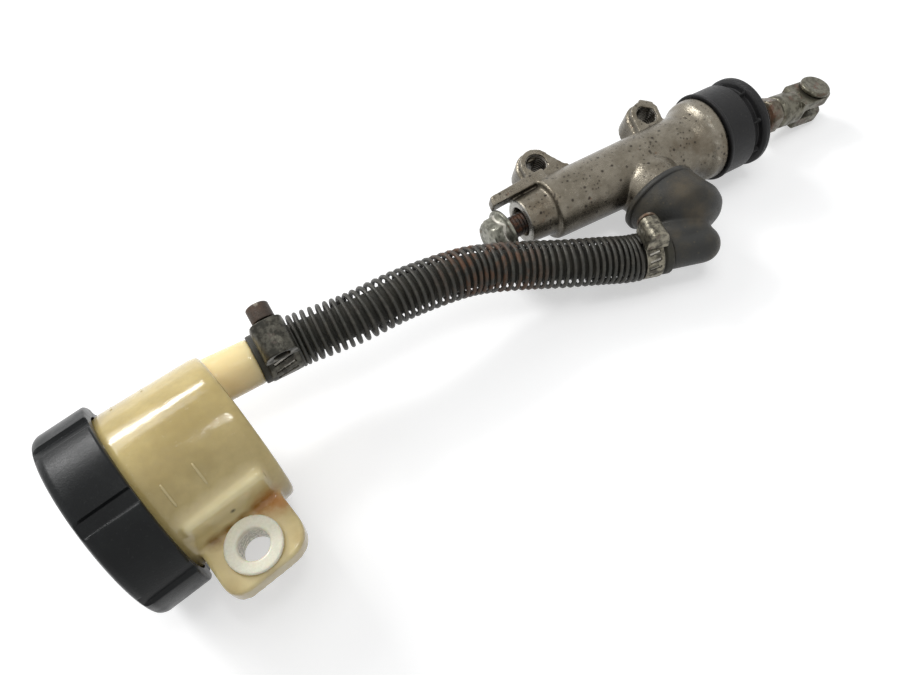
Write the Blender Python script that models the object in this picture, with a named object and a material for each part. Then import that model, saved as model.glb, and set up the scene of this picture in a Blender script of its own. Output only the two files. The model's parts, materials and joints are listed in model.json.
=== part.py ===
"""Rear brake master cylinder with a remote fluid reservoir, joined by a hose in a coil-spring guard.

The bore axis lies along +X, from the outlet port to the pushrod clevis. The lugs are on the +Y side and the
inlet boss on the -Y side. The whole object lies on a table, with its lowest point at Z = 0.
"""

import math

import bmesh
import bpy
import numpy as np
from mathutils import Matrix, Vector

MM = 0.001
GAP = 0.3 * MM
OVERLAP = 1.0 * MM
ROUND = 28
SMALL_ROUND = 16

# Lie of the three groups on the table
BORE_HEIGHT = 13.8 * MM
BODY_ROLL = math.radians(12.5)
ROD_DROOP = math.radians(8.4)
RESERVOIR_PLACE = Vector((-159.6, -30.5, 23.1)) * MM
RESERVOIR_TURN = math.radians(10.5)

# Cast cylinder
BORE_R = 7.0 * MM
PORT_FACE_X = -33.5 * MM
PORT_LENGTH = 8.3 * MM
PORT_HOLE_R = 4.2 * MM
PORT_WALL = 2.6 * MM
BORE_FLOOR_X = -17.0 * MM
FRONT_WALL = 1.8 * MM
REAR_WALL = 2.7 * MM
BEAD_X = 29.6 * MM
BEAD_RISE = 2.1 * MM
BODY_END_X = 41.0 * MM
SEAT_WALL = 3.1 * MM
LUG_SPACING = 40.0 * MM
LUG_OFFSET = 13.6 * MM
LUG_TOP = 1.6 * MM
LUG_THICKNESS = 10.0 * MM
LUG_RADIUS = 5.7 * MM
LUG_HOLE_R = 3.2 * MM
LUG_FOOT = 15.0 * MM
LUG_NIB = 2.4 * MM
BOSS_X = 6.0 * MM
BOSS_R = 8.0 * MM
BOSS_LENGTH = 16.5 * MM
INLET_R = 2.6 * MM
TAB_REACH = 6.2 * MM
TAB_THICKNESS = 3.0 * MM
TAB_TOP = 5.2 * MM

# Transit bolt in the outlet port
BOLT_R = 3.2 * MM
BOLT_STANDOFF = 5.6 * MM
BOLT_LEAN = math.radians(4.0)
BOLT_DEPTH = 9.5 * MM
BOLT_FLANGE_R = 6.7 * MM
BOLT_FLATS = 9.8 * MM
BOLT_HEAD = 4.6 * MM

# Piston, cups, return spring and their stop
STROKE = 9.0 * MM
SPRING_ROOM = 12.5 * MM
PISTON_END_X = 33.9 * MM
CUP_LENGTH = 4.0 * MM
SECOND_CUP_X = 20.0 * MM
BALL_X = 31.0 * MM
BALL_R = 3.6 * MM
SPRING_WIRE_R = 0.55 * MM
SPRING_TURNS = 7
WASHER_THICKNESS = 1.2 * MM
CIRCLIP_THICKNESS = 0.8 * MM
CIRCLIP_DEPTH = 1.0 * MM

# Dust boot on the end of the cylinder
BOOT_RISE = 1.5 * MM
BOOT_LENGTH = 15.4 * MM
BOOT_LIP_LENGTH = 4.6 * MM

# Pushrod, lock nut, clevis and pin, measured along the rod from the centre of its ball
ROD_R = 3.0 * MM
ROD_NECK_R = 2.3 * MM
NUT_START = 27.5 * MM
NUT_LENGTH = 4.4 * MM
NUT_FLATS = 9.8 * MM
CLEVIS_R = 5.2 * MM
CLEVIS_HALF = 4.8 * MM
CLEVIS_NOSE = 1.3 * MM
SLOT_START = 42.0 * MM
SLOT_WIDTH = 3.4 * MM
PIN_PLACE = 48.4 * MM
PIN_R = 2.4 * MM
PIN_HEAD_R = 4.8 * MM
PIN_HEAD = 1.5 * MM
CLIP_THICKNESS = 0.7 * MM

# Elbow on the inlet boss
ELBOW_START = 12.1 * MM
ELBOW_R = 11.5 * MM
ELBOW_LENGTH = 14.9 * MM
ELBOW_LEAN = 5.4 * MM
LEG_START = Vector((-3.2, -27.5, -2.1)) * MM
LEG_TURN = math.radians(-16.0)
LEG_LENGTH = 10.8 * MM
LEG_R = 5.4 * MM
NIPPLE_R = 3.3 * MM
NIPPLE_LENGTH = 11.0 * MM
PASSAGE_R = 2.2 * MM
SEAL_THICKNESS = 1.4 * MM

# Hose, its spring guard and its two worm-drive clamps
HOSE_R = 4.5 * MM
HOSE_END_R = 5.5 * MM
HOSE_BORE_R = 3.6 * MM
HOSE_ROUTE = (
    Vector((-90.5, -10.2, 22.3)) * MM,
    Vector((-76.1, -9.9, 22.0)) * MM,
    Vector((-61.4, -10.1, 20.0)) * MM,
    Vector((-52.6, -11.1, 18.0)) * MM,
    Vector((-42.3, -14.0, 15.8)) * MM,
    Vector((-31.8, -17.9, 14.0)) * MM,
    Vector((-20.4, -22.1, 12.6)) * MM,
)
HOSE_STEP = 4.0 * MM
HOSE_SWELL = 0.8 * MM
GUARD_WIRE_R = 0.6 * MM
GUARD_SLACK = 0.35 * MM
GUARD_TURNS = 43
GUARD_POINTS = 9
CLAMP_INSET = 1.4 * MM
CLAMP_WIDTH = 8.0 * MM
CLAMP_BAND = 0.7 * MM
CLAMP_ROLLS = (math.radians(15.0), math.radians(-8.0))
HOUSING_WIDTH = 8.4 * MM
HOUSING_LENGTH = 9.0 * MM
SCREW_R = 1.8 * MM
SCREW_HEAD_R = 2.8 * MM
SCREW_HEADS = (4.5 * MM, 1.0 * MM)

# Reservoir, cap and diaphragm, measured along the reservoir from the outer face of its cap
CAP_R = 22.9 * MM
CAP_HEIGHT = 12.0 * MM
CAP_TOP = 2.4 * MM
CAP_WALL = 2.8 * MM
CAP_GROOVES = 7
CAP_GROOVE_WIDTH = 2.6 * MM
CAP_GROOVE_DEPTH = 0.9 * MM
CAP_GROOVE_TURN = math.radians(18.8)
THREAD_GAP = 0.6 * MM
SLIP_RING = 0.8 * MM
DIAPHRAGM = 1.0 * MM
DIAPHRAGM_DEPTH = 9.0 * MM
RESERVOIR_WALL = 2.1 * MM
RESERVOIR_FLOOR = 2.5 * MM
RESERVOIR_LENGTH = 36.5 * MM
RESERVOIR_TAPER = 0.8 * MM
SPIGOT_R = 5.3 * MM
SPIGOT_INSET = 3.5 * MM
SPIGOT_DROP = -1.5 * MM
SPIGOT_TURN = math.radians(-9.5)
SPIGOT_BACK = 7.5 * MM
SPIGOT_LENGTH = 18.4 * MM
MOUNT_START = 13.8 * MM
MOUNT_LENGTH = 19.6 * MM
MOUNT_WIDTH = 12.5 * MM
MOUNT_NEAR_CORNER = 3.0 * MM
MOUNT_FAR_CORNER = 4.5 * MM
MOUNT_TOP = 3.0 * MM
MOUNT_THICKNESS = 5.6 * MM
BUSH_ALONG = 23.2 * MM
BUSH_OFFSET = 5.7 * MM
BUSH_R = 5.0 * MM
BUSH_FLANGE_R = 6.1 * MM
BUSH_FLANGE = 1.1 * MM
BUSH_HOLE_R = 3.3 * MM

# Radii and places that follow from the sizes above
BODY_FRONT_R = BORE_R + FRONT_WALL
BODY_REAR_R = BORE_R + REAR_WALL
BEAD_R = BODY_REAR_R + BEAD_RISE
SEAT_R = BORE_R + SEAT_WALL
PORT_R = PORT_HOLE_R + PORT_WALL
PISTON_R = BORE_R - GAP
PISTON_NOSE_X = BORE_FLOOR_X + STROKE + SPRING_ROOM
GROOVE_R = PISTON_R - 2.2 * MM
WASHER_X = PISTON_END_X + GAP
CIRCLIP_X = WASHER_X + WASHER_THICKNESS + 2.0 * GAP
BOOT_R = BEAD_R + BOOT_RISE
BOOT_START_X = BEAD_X + 1.7 * MM
CLEVIS_START = NUT_START + NUT_LENGTH + GAP
CLEVIS_END = PIN_PLACE + CLEVIS_NOSE + CLEVIS_HALF
COIL_R = (HOSE_R + GAP + GUARD_SLACK + GUARD_WIRE_R) / math.cos(math.pi / GUARD_POINTS)
BAND_R = HOSE_END_R + GAP
HOUSING_BASE = BAND_R + CLAMP_BAND + GAP
SCREW_CENTRE = HOUSING_BASE + SCREW_R + 0.9 * MM
NECK_R = CAP_R - CAP_WALL - THREAD_GAP
SLIP_RING_X = CAP_TOP + GAP
DIAPHRAGM_X = SLIP_RING_X + SLIP_RING + GAP
MOUTH_X = DIAPHRAGM_X + DIAPHRAGM + GAP
RESERVOIR_R = NECK_R + 0.3 * MM
CAVITY_R = NECK_R - RESERVOIR_WALL
SPIGOT_SIDE = RESERVOIR_R - SPIGOT_INSET
SPIGOT_START = RESERVOIR_LENGTH - SPIGOT_BACK
MOUNT_REACH = RESERVOIR_R + MOUNT_WIDTH
BUSH_SIDE = -RESERVOIR_R - BUSH_OFFSET


def clear_scene():
    for existing in list(bpy.data.objects):
        bpy.data.objects.remove(existing)


def material(name, colour, roughness, metallic=0.0):
    """A Principled material with one colour."""
    made = bpy.data.materials.new(name)
    made.use_nodes = True
    shader = made.node_tree.nodes["Principled BSDF"]
    shader.inputs["Base Color"].default_value = (*colour, 1.0)
    shader.inputs["Roughness"].default_value = roughness
    shader.inputs["Metallic"].default_value = metallic
    return made


def empty(name, parent=None, place=(0.0, 0.0, 0.0), turn=(0.0, 0.0, 0.0)):
    """An empty that carries a group of pieces."""
    made = bpy.data.objects.new(name, None)
    made.parent = parent
    made.location = place
    made.rotation_euler = turn
    bpy.context.scene.collection.objects.link(made)
    return made


def finish(work, name, parent, place, turn, look):
    """Closes a bmesh into a named, smooth-shaded object."""
    bmesh.ops.recalc_face_normals(work, faces=work.faces)
    mesh = bpy.data.meshes.new(name)
    work.to_mesh(mesh)
    work.free()
    mesh.shade_smooth()
    mesh.set_sharp_from_angle(angle=math.radians(35.0))
    made = bpy.data.objects.new(name, mesh)
    made.parent = parent
    made.location = place
    made.rotation_euler = turn
    if look:
        mesh.materials.append(look)
    bpy.context.scene.collection.objects.link(made)
    return made


def turned(name, profile, parent, look=None, place=(0, 0, 0), turn=(0, 0, 0), ring=False, steps=ROUND):
    """Spins (along, radius) points about X. A ring profile closes on itself, any other ends on the axis."""
    work = bmesh.new()
    points = [work.verts.new((along, 0.0, radius)) for along, radius in profile]
    pairs = list(zip(points, points[1:]))
    if ring:
        pairs.append((points[-1], points[0]))
    edges = [work.edges.new(pair) for pair in pairs]
    bmesh.ops.spin(
        work,
        geom=points + edges,
        cent=(0.0, 0.0, 0.0),
        axis=(1.0, 0.0, 0.0),
        angle=2.0 * math.pi,
        steps=steps,
        use_merge=True,
    )
    bmesh.ops.remove_doubles(work, verts=work.verts, dist=1e-6)
    return finish(work, name, parent, place, turn, look)


def prism(name, outline, low, high, parent, look=None, place=(0, 0, 0), turn=(0, 0, 0)):
    """Extrudes an XY outline from Z = low to Z = high."""
    work = bmesh.new()
    base = work.faces.new([work.verts.new((x, y, low)) for x, y in outline])
    raised = bmesh.ops.extrude_face_region(work, geom=[base])["geom"]
    moved = [item for item in raised if isinstance(item, bmesh.types.BMVert)]
    bmesh.ops.translate(work, verts=moved, vec=(0.0, 0.0, high - low))
    return finish(work, name, parent, place, turn, look)


def loft(name, rings, parent, look=None, hollow=True):
    """Skins a chain of rings. A hollow one runs out along one wall and back along the other."""
    work = bmesh.new()
    loops = [[work.verts.new(point) for point in ring] for ring in rings]
    count = len(loops[0])
    following = loops[1:] + loops[:1] if hollow else loops[1:]
    for here, there in zip(loops, following):
        for index in range(count):
            after = (index + 1) % count
            work.faces.new((here[index], here[after], there[after], there[index]))
    if not hollow:
        work.faces.new(loops[0])
        work.faces.new(loops[-1])
    return finish(work, name, parent, (0, 0, 0), (0, 0, 0), look)


def arc(centre, radius, start, end, count):
    """Points on an arc in degrees, both ends included."""
    angles = [math.radians(start + (end - start) * step / count) for step in range(count + 1)]
    return [(centre[0] + radius * math.cos(a), centre[1] + radius * math.sin(a)) for a in angles]


def hexagon(flats):
    """A regular hexagon by its width across flats."""
    return arc((0.0, 0.0), flats / math.sqrt(3.0), 0.0, 300.0, 5)


def combine(target, tool, operation):
    """Joins or cuts with a helper that is not a piece itself."""
    tool.hide_render = True
    tool.display_type = "WIRE"
    step = target.modifiers.new(tool.name, "BOOLEAN")
    step.operation = operation
    step.solver = "EXACT"
    step.object = tool


def helix_tube(name, points, radius, parent, look):
    """One unbroken wire along the given points."""
    curve = bpy.data.curves.new(name, "CURVE")
    curve.dimensions = "3D"
    curve.bevel_depth = radius
    curve.bevel_resolution = 1
    curve.use_fill_caps = True
    spline = curve.splines.new("POLY")
    spline.points.add(len(points) - 1)
    for slot, point in zip(spline.points, points):
        slot.co = (*point, 1.0)
    curve.materials.append(look)
    made = bpy.data.objects.new(name, curve)
    made.parent = parent
    bpy.context.scene.collection.objects.link(made)
    return made


def frames_along(points):
    """A tangent and two side directions at each point, carried along without twist."""
    tangents = []
    for index in range(len(points)):
        before = points[max(index - 1, 0)]
        after = points[min(index + 1, len(points) - 1)]
        tangents.append((after - before).normalized())
    up = Vector((0.0, 0.0, 1.0))
    frames = []
    for tangent in tangents:
        up = (up - tangent * up.dot(tangent)).normalized()
        frames.append((tangent, up.copy(), tangent.cross(up)))
    return frames


def smooth_route(knots, step):
    """Even points on a smooth curve through the knots."""
    dense = []
    padded = [knots[0] * 2 - knots[1], *knots, knots[-1] * 2 - knots[-2]]
    for a, b, c, d in zip(padded, padded[1:], padded[2:], padded[3:]):
        for t in np.linspace(0.0, 1.0, 40, endpoint=False):
            bend = 2 * a - 5 * b + 4 * c - d
            twist = 3 * b - a - 3 * c + d
            dense.append(0.5 * (2 * b + (c - a) * t + bend * t**2 + twist * t**3))
    dense.append(knots[-1].copy())
    lengths = np.concatenate(([0.0], np.cumsum([(q - p).length for p, q in zip(dense, dense[1:])])))
    count = max(int(round(lengths[-1] / step)), 8)
    wanted = np.linspace(0.0, lengths[-1], count + 1)
    places = np.array([tuple(point) for point in dense])
    even = np.stack([np.interp(wanted, lengths, places[:, axis]) for axis in range(3)], axis=1)
    return [Vector(point) for point in even], wanted


def along_route(points, lengths, distance):
    """The point at a distance along an even route."""
    places = np.array([tuple(point) for point in points])
    return Vector([np.interp(distance, lengths, places[:, axis]) for axis in range(3)])


def lug_outline(left, right):
    """One mounting lug in plan: a round end about the hole, running into the tube on both sides."""
    root = BODY_FRONT_R * 0.3
    end = arc((0.0, LUG_OFFSET), LUG_RADIUS, 180.0, 15.0, 12)
    foot = [(right * 0.55, BODY_REAR_R * 0.95), (right, BODY_REAR_R * 0.8), (right, root), (-left, root)]
    return end + foot


def build_cylinder(frame, look):
    """The casting: stepped tube, port, two lugs with nibs, inlet boss, stop tab, bore and circlip groove."""
    shoulder = PORT_FACE_X + PORT_LENGTH
    chamfer = 0.5 * MM
    profile = [
        (PORT_FACE_X, 0.0),
        (PORT_FACE_X, PORT_R - chamfer),
        (PORT_FACE_X + chamfer, PORT_R),
        (shoulder, PORT_R + 0.3 * MM),
        (shoulder + 0.4 * MM, BODY_FRONT_R - 0.8 * MM),
        (shoulder + 1.4 * MM, BODY_FRONT_R),
        (BEAD_X - 6.0 * MM, BODY_REAR_R),
        (BEAD_X - 2.2 * MM, BEAD_R - 0.2 * MM),
        (BEAD_X, BEAD_R),
        (BEAD_X + 0.9 * MM, BEAD_R - 0.5 * MM),
        (BEAD_X + 1.4 * MM, SEAT_R),
        (BODY_END_X, SEAT_R),
        (BODY_END_X, 0.0),
    ]
    body = turned("cylinder_body", profile, frame, look)
    low = LUG_TOP - LUG_THICKNESS
    half = LUG_SPACING / 2.0
    shapes = ((-1, LUG_RADIUS, LUG_FOOT, 1.0 * MM), (1, LUG_RADIUS * 1.2, LUG_RADIUS * 1.1, 2.6 * MM))
    for side, left, right, shift in shapes:
        place = (side * half, 0.0, 0.0)
        lug = prism(f"lug_{side}", lug_outline(left, right), low, LUG_TOP, frame, place=place)
        combine(body, lug, "UNION")
        far = LUG_OFFSET + LUG_RADIUS
        root = far - LUG_NIB
        edge = [(-LUG_NIB, root), (LUG_NIB, root), (LUG_NIB * 0.8, far + 0.8 * MM)]
        edge.append((-LUG_NIB, far + 0.7 * MM))
        beside = (side * half + shift, 0.0, 0.0)
        rib = prism(f"lug_nib_{side}", edge, low + OVERLAP, LUG_TOP - OVERLAP, frame, place=beside)
        combine(body, rib, "UNION")
    boss_turn = (0.0, -BODY_ROLL, -math.pi / 2.0)
    boss_profile = [
        (BODY_FRONT_R * 0.2, 0.0),
        (BODY_FRONT_R * 0.2, BOSS_R + 0.4 * MM),
        (BODY_FRONT_R * 0.75, BOSS_R + 1.6 * MM),
        (ELBOW_START - 2.0 * GAP, BOSS_R + 1.2 * MM),
        (ELBOW_START - GAP, BOSS_R),
        (BOSS_LENGTH - chamfer, BOSS_R),
        (BOSS_LENGTH, BOSS_R - chamfer),
        (BOSS_LENGTH, 0.0),
    ]
    boss = turned("inlet_boss", boss_profile, frame, place=(BOSS_X, 0.0, 0.0), turn=boss_turn)
    combine(body, boss, "UNION")
    tip = PORT_FACE_X - TAB_REACH
    tab_outline = [
        (tip, PORT_R - 0.6 * MM),
        (tip + 0.4 * MM, PORT_R + 1.8 * MM),
        (shoulder - 3.0 * MM, PORT_R + 2.8 * MM),
        (shoulder + 4.0 * MM, PORT_R + 3.4 * MM),
        (shoulder + 4.0 * MM, PORT_R * 0.6),
        (PORT_FACE_X + OVERLAP, PORT_R * 0.6),
        (PORT_FACE_X - OVERLAP, PORT_R * 0.8),
    ]
    tab = prism("stop_tab", tab_outline, TAB_TOP - TAB_THICKNESS, TAB_TOP, frame)
    combine(body, tab, "UNION")
    groove = CIRCLIP_THICKNESS + 2.0 * GAP
    hole = PORT_HOLE_R
    drill = PORT_FACE_X + BOLT_DEPTH + OVERLAP
    bore_profile = [
        (PORT_FACE_X - OVERLAP, 0.0),
        (PORT_FACE_X - OVERLAP, hole),
        (drill, hole),
        (drill + 1.5 * MM, hole * 0.5),
        (BORE_FLOOR_X, hole * 0.5),
        (BORE_FLOOR_X, BORE_R),
        (CIRCLIP_X - GAP, BORE_R),
        (CIRCLIP_X - GAP, BORE_R + CIRCLIP_DEPTH),
        (CIRCLIP_X - GAP + groove, BORE_R + CIRCLIP_DEPTH),
        (CIRCLIP_X - GAP + groove, BORE_R + 0.2 * MM),
        (BODY_END_X + OVERLAP, BORE_R + 0.2 * MM),
        (BODY_END_X + OVERLAP, 0.0),
    ]
    between_facets = (math.pi / ROUND, 0.0, 0.0)
    combine(body, turned("bore", bore_profile, frame, turn=between_facets), "DIFFERENCE")
    inlet_profile = [(BORE_R * 0.5, 0.0), (BORE_R * 0.5, INLET_R)]
    inlet_profile += [(BOSS_LENGTH + OVERLAP, INLET_R), (BOSS_LENGTH + OVERLAP, 0.0)]
    inlet_place = (BOSS_X, 0.0, 0.0)
    inlet = turned("inlet_bore", inlet_profile, frame, place=inlet_place, turn=boss_turn, steps=SMALL_ROUND)
    combine(body, inlet, "DIFFERENCE")
    for side in (-1, 1):
        circle = arc((side * half, LUG_OFFSET), LUG_HOLE_R, 0.0, 345.0, 23)
        hole_cut = prism(f"lug_hole_{side}", circle, low - OVERLAP, LUG_TOP + OVERLAP, frame)
        combine(body, hole_cut, "DIFFERENCE")
    return body


def build_port_bolt(frame, look):
    """The loose flange bolt that closes the outlet port. It leans in its wider hole."""
    middle = BOLT_DEPTH / 2.0
    slack = empty("bolt_slack", frame, (PORT_FACE_X + middle, 0.0, 0.0), (0.0, 0.0, BOLT_LEAN))
    flange = -middle - BOLT_STANDOFF
    profile = [
        (flange - 2.4 * MM, 0.0),
        (flange - 2.4 * MM, BOLT_FLATS * 0.5),
        (flange - 0.9 * MM, BOLT_FLANGE_R - 0.3 * MM),
        (flange - 0.4 * MM, BOLT_FLANGE_R),
        (flange, BOLT_FLANGE_R - 0.2 * MM),
        (flange, BOLT_R),
        (middle - 0.6 * MM, BOLT_R),
        (middle, BOLT_R - 0.6 * MM),
        (middle, 0.0),
    ]
    bolt = turned("port_bolt", profile, slack, look, steps=SMALL_ROUND + 4)
    top = flange - 1.0 * MM - BOLT_HEAD
    across = (0.0, math.pi / 2.0, 0.0)
    head = prism("bolt_hexagon", hexagon(BOLT_FLATS), 0.0, BOLT_HEAD, slack, place=(top, 0, 0), turn=across)
    combine(bolt, head, "UNION")
    return bolt


def build_piston(frame, look):
    """The piston: spring spigot, two cup grooves, waist and a round socket for the rod."""
    spigot = BORE_R * 0.46
    first_cup = PISTON_NOSE_X + 1.2 * MM
    land = first_cup + CUP_LENGTH
    second = SECOND_CUP_X
    socket = BALL_R + GAP
    bowl = [(BALL_X - socket * math.cos(a), socket * math.sin(a)) for a in np.linspace(math.pi / 2, 0, 7)]
    profile = [
        (PISTON_NOSE_X - 2.5 * MM, 0.0),
        (PISTON_NOSE_X - 2.5 * MM, spigot),
        (PISTON_NOSE_X, spigot),
        (PISTON_NOSE_X, PISTON_R - 0.9 * MM),
        (first_cup, PISTON_R - 0.9 * MM),
        (first_cup, GROOVE_R),
        (land, GROOVE_R),
        (land, PISTON_R),
        (land + 2.2 * MM, PISTON_R),
        (land + 3.0 * MM, GROOVE_R),
        (second - 3.0 * MM, GROOVE_R),
        (second - 2.2 * MM, PISTON_R),
        (second, PISTON_R),
        (second, GROOVE_R),
        (second + CUP_LENGTH, GROOVE_R),
        (second + CUP_LENGTH, PISTON_R),
        (PISTON_END_X, PISTON_R),
        (PISTON_END_X, socket),
    ]
    return turned("piston", profile + bowl, frame, look, steps=SMALL_ROUND)


def build_cup(name, start, frame, look):
    """A lip seal that fills one groove of the piston."""
    inner = GROOVE_R + GAP
    front = start + GAP
    back = start + CUP_LENGTH - GAP
    profile = [
        (front, inner),
        (front, inner + 0.5 * MM),
        (front + 0.9 * MM, PISTON_R - 0.8 * MM),
        (front, PISTON_R - 0.4 * MM),
        (front + 0.2 * MM, PISTON_R),
        (back, PISTON_R - 0.3 * MM),
        (back, inner),
    ]
    return turned(name, profile, frame, look, ring=True, steps=SMALL_ROUND)


def build_return_spring(frame, look):
    """The coil between the bore floor and the nose of the piston."""
    coil = BORE_R * 0.46 + GAP + SPRING_WIRE_R + 0.5 * MM
    start = BORE_FLOOR_X + GAP + SPRING_WIRE_R
    end = PISTON_NOSE_X - GAP - SPRING_WIRE_R
    points = []
    for step in range(SPRING_TURNS * GUARD_POINTS + 1):
        share = step / (SPRING_TURNS * GUARD_POINTS)
        turn = 2.0 * math.pi * SPRING_TURNS * share
        points.append((start + (end - start) * share, coil * math.cos(turn), coil * math.sin(turn)))
    return helix_tube("return_spring", points, SPRING_WIRE_R, frame, look)


def build_stop(frame, look):
    """The washer that stops the piston, and the circlip that holds the washer."""
    inner = BORE_R - 1.7 * MM
    end = WASHER_X + WASHER_THICKNESS
    outer = BORE_R - GAP
    ring_profile = [(WASHER_X, inner), (WASHER_X, outer), (end, outer), (end, inner)]
    turned("stop_washer", ring_profile, frame, look, ring=True)
    outline = arc((0, 0), BORE_R + CIRCLIP_DEPTH - GAP, 25.0, 335.0, 30)
    outline += arc((0, 0), BORE_R - 0.8 * MM, 335.0, 25.0, 30)
    place = (CIRCLIP_X, 0.0, 0.0)
    prism("circlip", outline, 0.0, CIRCLIP_THICKNESS, frame, look, place, (0.0, math.pi / 2, 0.0))


def build_boot(frame, look):
    """The rubber dust boot: a band on the casting, a groove, a lip, and a cone drawn down to the rod."""
    band_end = BOOT_START_X + BOOT_LENGTH * 0.72
    lip = BOOT_START_X + BOOT_LENGTH
    nose = lip + BOOT_LIP_LENGTH
    hug = ROD_R + 1.2 * GAP
    seat = SEAT_R + GAP
    outer = [
        (BOOT_START_X, BOOT_R - 0.9 * MM, 0.0),
        (BOOT_START_X + 0.6 * MM, BOOT_R - 0.1 * MM, 0.0),
        (band_end - 0.5 * MM, BOOT_R, 0.0),
        (band_end, BOOT_R - 0.5 * MM, 0.0),
        (band_end + 0.4 * MM, BOOT_R - 1.9 * MM, 0.0),
        (band_end + 1.6 * MM, BOOT_R - 1.9 * MM, 0.0),
        (band_end + 2.0 * MM, BOOT_R - 0.4 * MM, 0.0),
        (band_end + 2.6 * MM, BOOT_R + 0.1 * MM, 0.0),
        (lip - 0.7 * MM, BOOT_R, 0.0),
        (lip, BOOT_R - 1.0 * MM, 0.0),
        (lip + 0.6 * MM, BOOT_R * 0.72, 0.3),
        (nose - 2.2 * MM, hug + 2.6 * MM, 0.8),
        (nose - 1.2 * MM, hug + 1.3 * MM, 1.0),
        (nose, hug + 1.1 * MM, 1.0),
    ]
    inner = [
        (nose, hug, 1.0),
        (nose - 1.9 * MM, hug, 1.0),
        (lip - 0.6 * MM, BOOT_R * 0.60, 0.3),
        (lip - 1.6 * MM, BOOT_R * 0.72, 0.0),
        (BODY_END_X + GAP, seat - 0.2 * MM, 0.0),
        (BODY_END_X + GAP, seat, 0.0),
        (BOOT_START_X, seat, 0.0),
    ]
    rings = []
    for along, radius, follow in outer + inner:
        drop = follow * (along - BALL_X) * math.tan(ROD_DROOP)
        circle = arc((0.0, -drop), radius, 0.0, 360.0 - 360.0 / ROUND, ROUND - 1)
        rings.append([(along, y, z) for y, z in circle])
    return loft("dust_boot", rings, frame, look)


def build_pushrod(frame, look):
    """The ball-ended rod, from the piston socket into the clevis."""
    ball = [(-BALL_R * math.cos(a), BALL_R * math.sin(a)) for a in np.linspace(0.0, 2.45, 10)]
    neck = BALL_R * 0.78 + 0.8 * MM
    end = SLOT_START - 2.0 * MM
    profile = ball + [
        (neck, ROD_NECK_R),
        (neck + 4.0 * MM, ROD_NECK_R),
        (neck + 5.2 * MM, ROD_R),
        (end - 0.6 * MM, ROD_R),
        (end, ROD_R - 0.6 * MM),
        (end, 0.0),
    ]
    return turned("pushrod", profile, frame, look, steps=SMALL_ROUND)


def build_lock_nut(frame, look):
    """The hexagon nut that locks the clevis."""
    across = (0.0, math.pi / 2, 0.0)
    nut = prism("lock_nut", hexagon(NUT_FLATS), 0.0, NUT_LENGTH, frame, look, (NUT_START, 0, 0), across)
    corner = NUT_FLATS / math.sqrt(3.0)
    end = NUT_START + NUT_LENGTH
    round_profile = [
        (NUT_START - 0.2 * MM, 0.0),
        (NUT_START - 0.2 * MM, NUT_FLATS * 0.48),
        (NUT_START + 0.8 * MM, corner + 0.05 * MM),
        (end - 0.8 * MM, corner + 0.05 * MM),
        (end + 0.2 * MM, NUT_FLATS * 0.48),
        (end + 0.2 * MM, 0.0),
    ]
    combine(nut, turned("nut_chamfer", round_profile, frame), "INTERSECT")
    hole = ROD_R + GAP
    hole_profile = [(NUT_START - OVERLAP, 0.0), (NUT_START - OVERLAP, hole)]
    hole_profile += [(end + OVERLAP, hole), (end + OVERLAP, 0.0)]
    combine(nut, turned("nut_hole", hole_profile, frame, steps=SMALL_ROUND), "DIFFERENCE")
    return nut


def build_clevis(frame, look):
    """The fork: a round shank with a chamfer, two cheeks with round ends, a slot and a cross hole."""
    profile = [
        (CLEVIS_START, 0.0),
        (CLEVIS_START, CLEVIS_R - 0.6 * MM),
        (CLEVIS_START + 0.8 * MM, CLEVIS_R),
        (SLOT_START - 0.6 * MM, CLEVIS_R),
        (SLOT_START + 0.4 * MM, CLEVIS_R - 0.9 * MM),
        (SLOT_START + 0.4 * MM, 0.0),
    ]
    clevis = turned("clevis", profile, frame, look)
    side = CLEVIS_HALF
    root = SLOT_START - 2.2 * MM
    nose = arc((PIN_PLACE + CLEVIS_NOSE, 0.0), side, -90.0, 90.0, 12)
    outline = [(root, -side), *nose, (root, side)]
    combine(clevis, prism("clevis_cheeks", outline, -side, side, frame), "UNION")
    slot_half = SLOT_WIDTH / 2.0
    reach = CLEVIS_END + OVERLAP
    wide = CLEVIS_R + OVERLAP
    slot_outline = [(SLOT_START, -wide), (reach, -wide), (reach, wide), (SLOT_START, wide)]
    combine(clevis, prism("clevis_slot", slot_outline, -slot_half, slot_half, frame), "DIFFERENCE")
    hole = arc((PIN_PLACE, 0.0), PIN_R + GAP, 0.0, 345.0, 23)
    combine(clevis, prism("clevis_cross_hole", hole, -wide, wide, frame), "DIFFERENCE")
    thread = ROD_R + GAP
    thread_profile = [(CLEVIS_START - OVERLAP, 0.0), (CLEVIS_START - OVERLAP, thread)]
    thread_profile += [(SLOT_START + OVERLAP, thread), (SLOT_START + OVERLAP, 0.0)]
    between_facets = (math.pi / SMALL_ROUND, 0.0, 0.0)
    threaded = turned("clevis_thread", thread_profile, frame, turn=between_facets, steps=SMALL_ROUND)
    combine(clevis, threaded, "DIFFERENCE")
    return clevis


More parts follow.
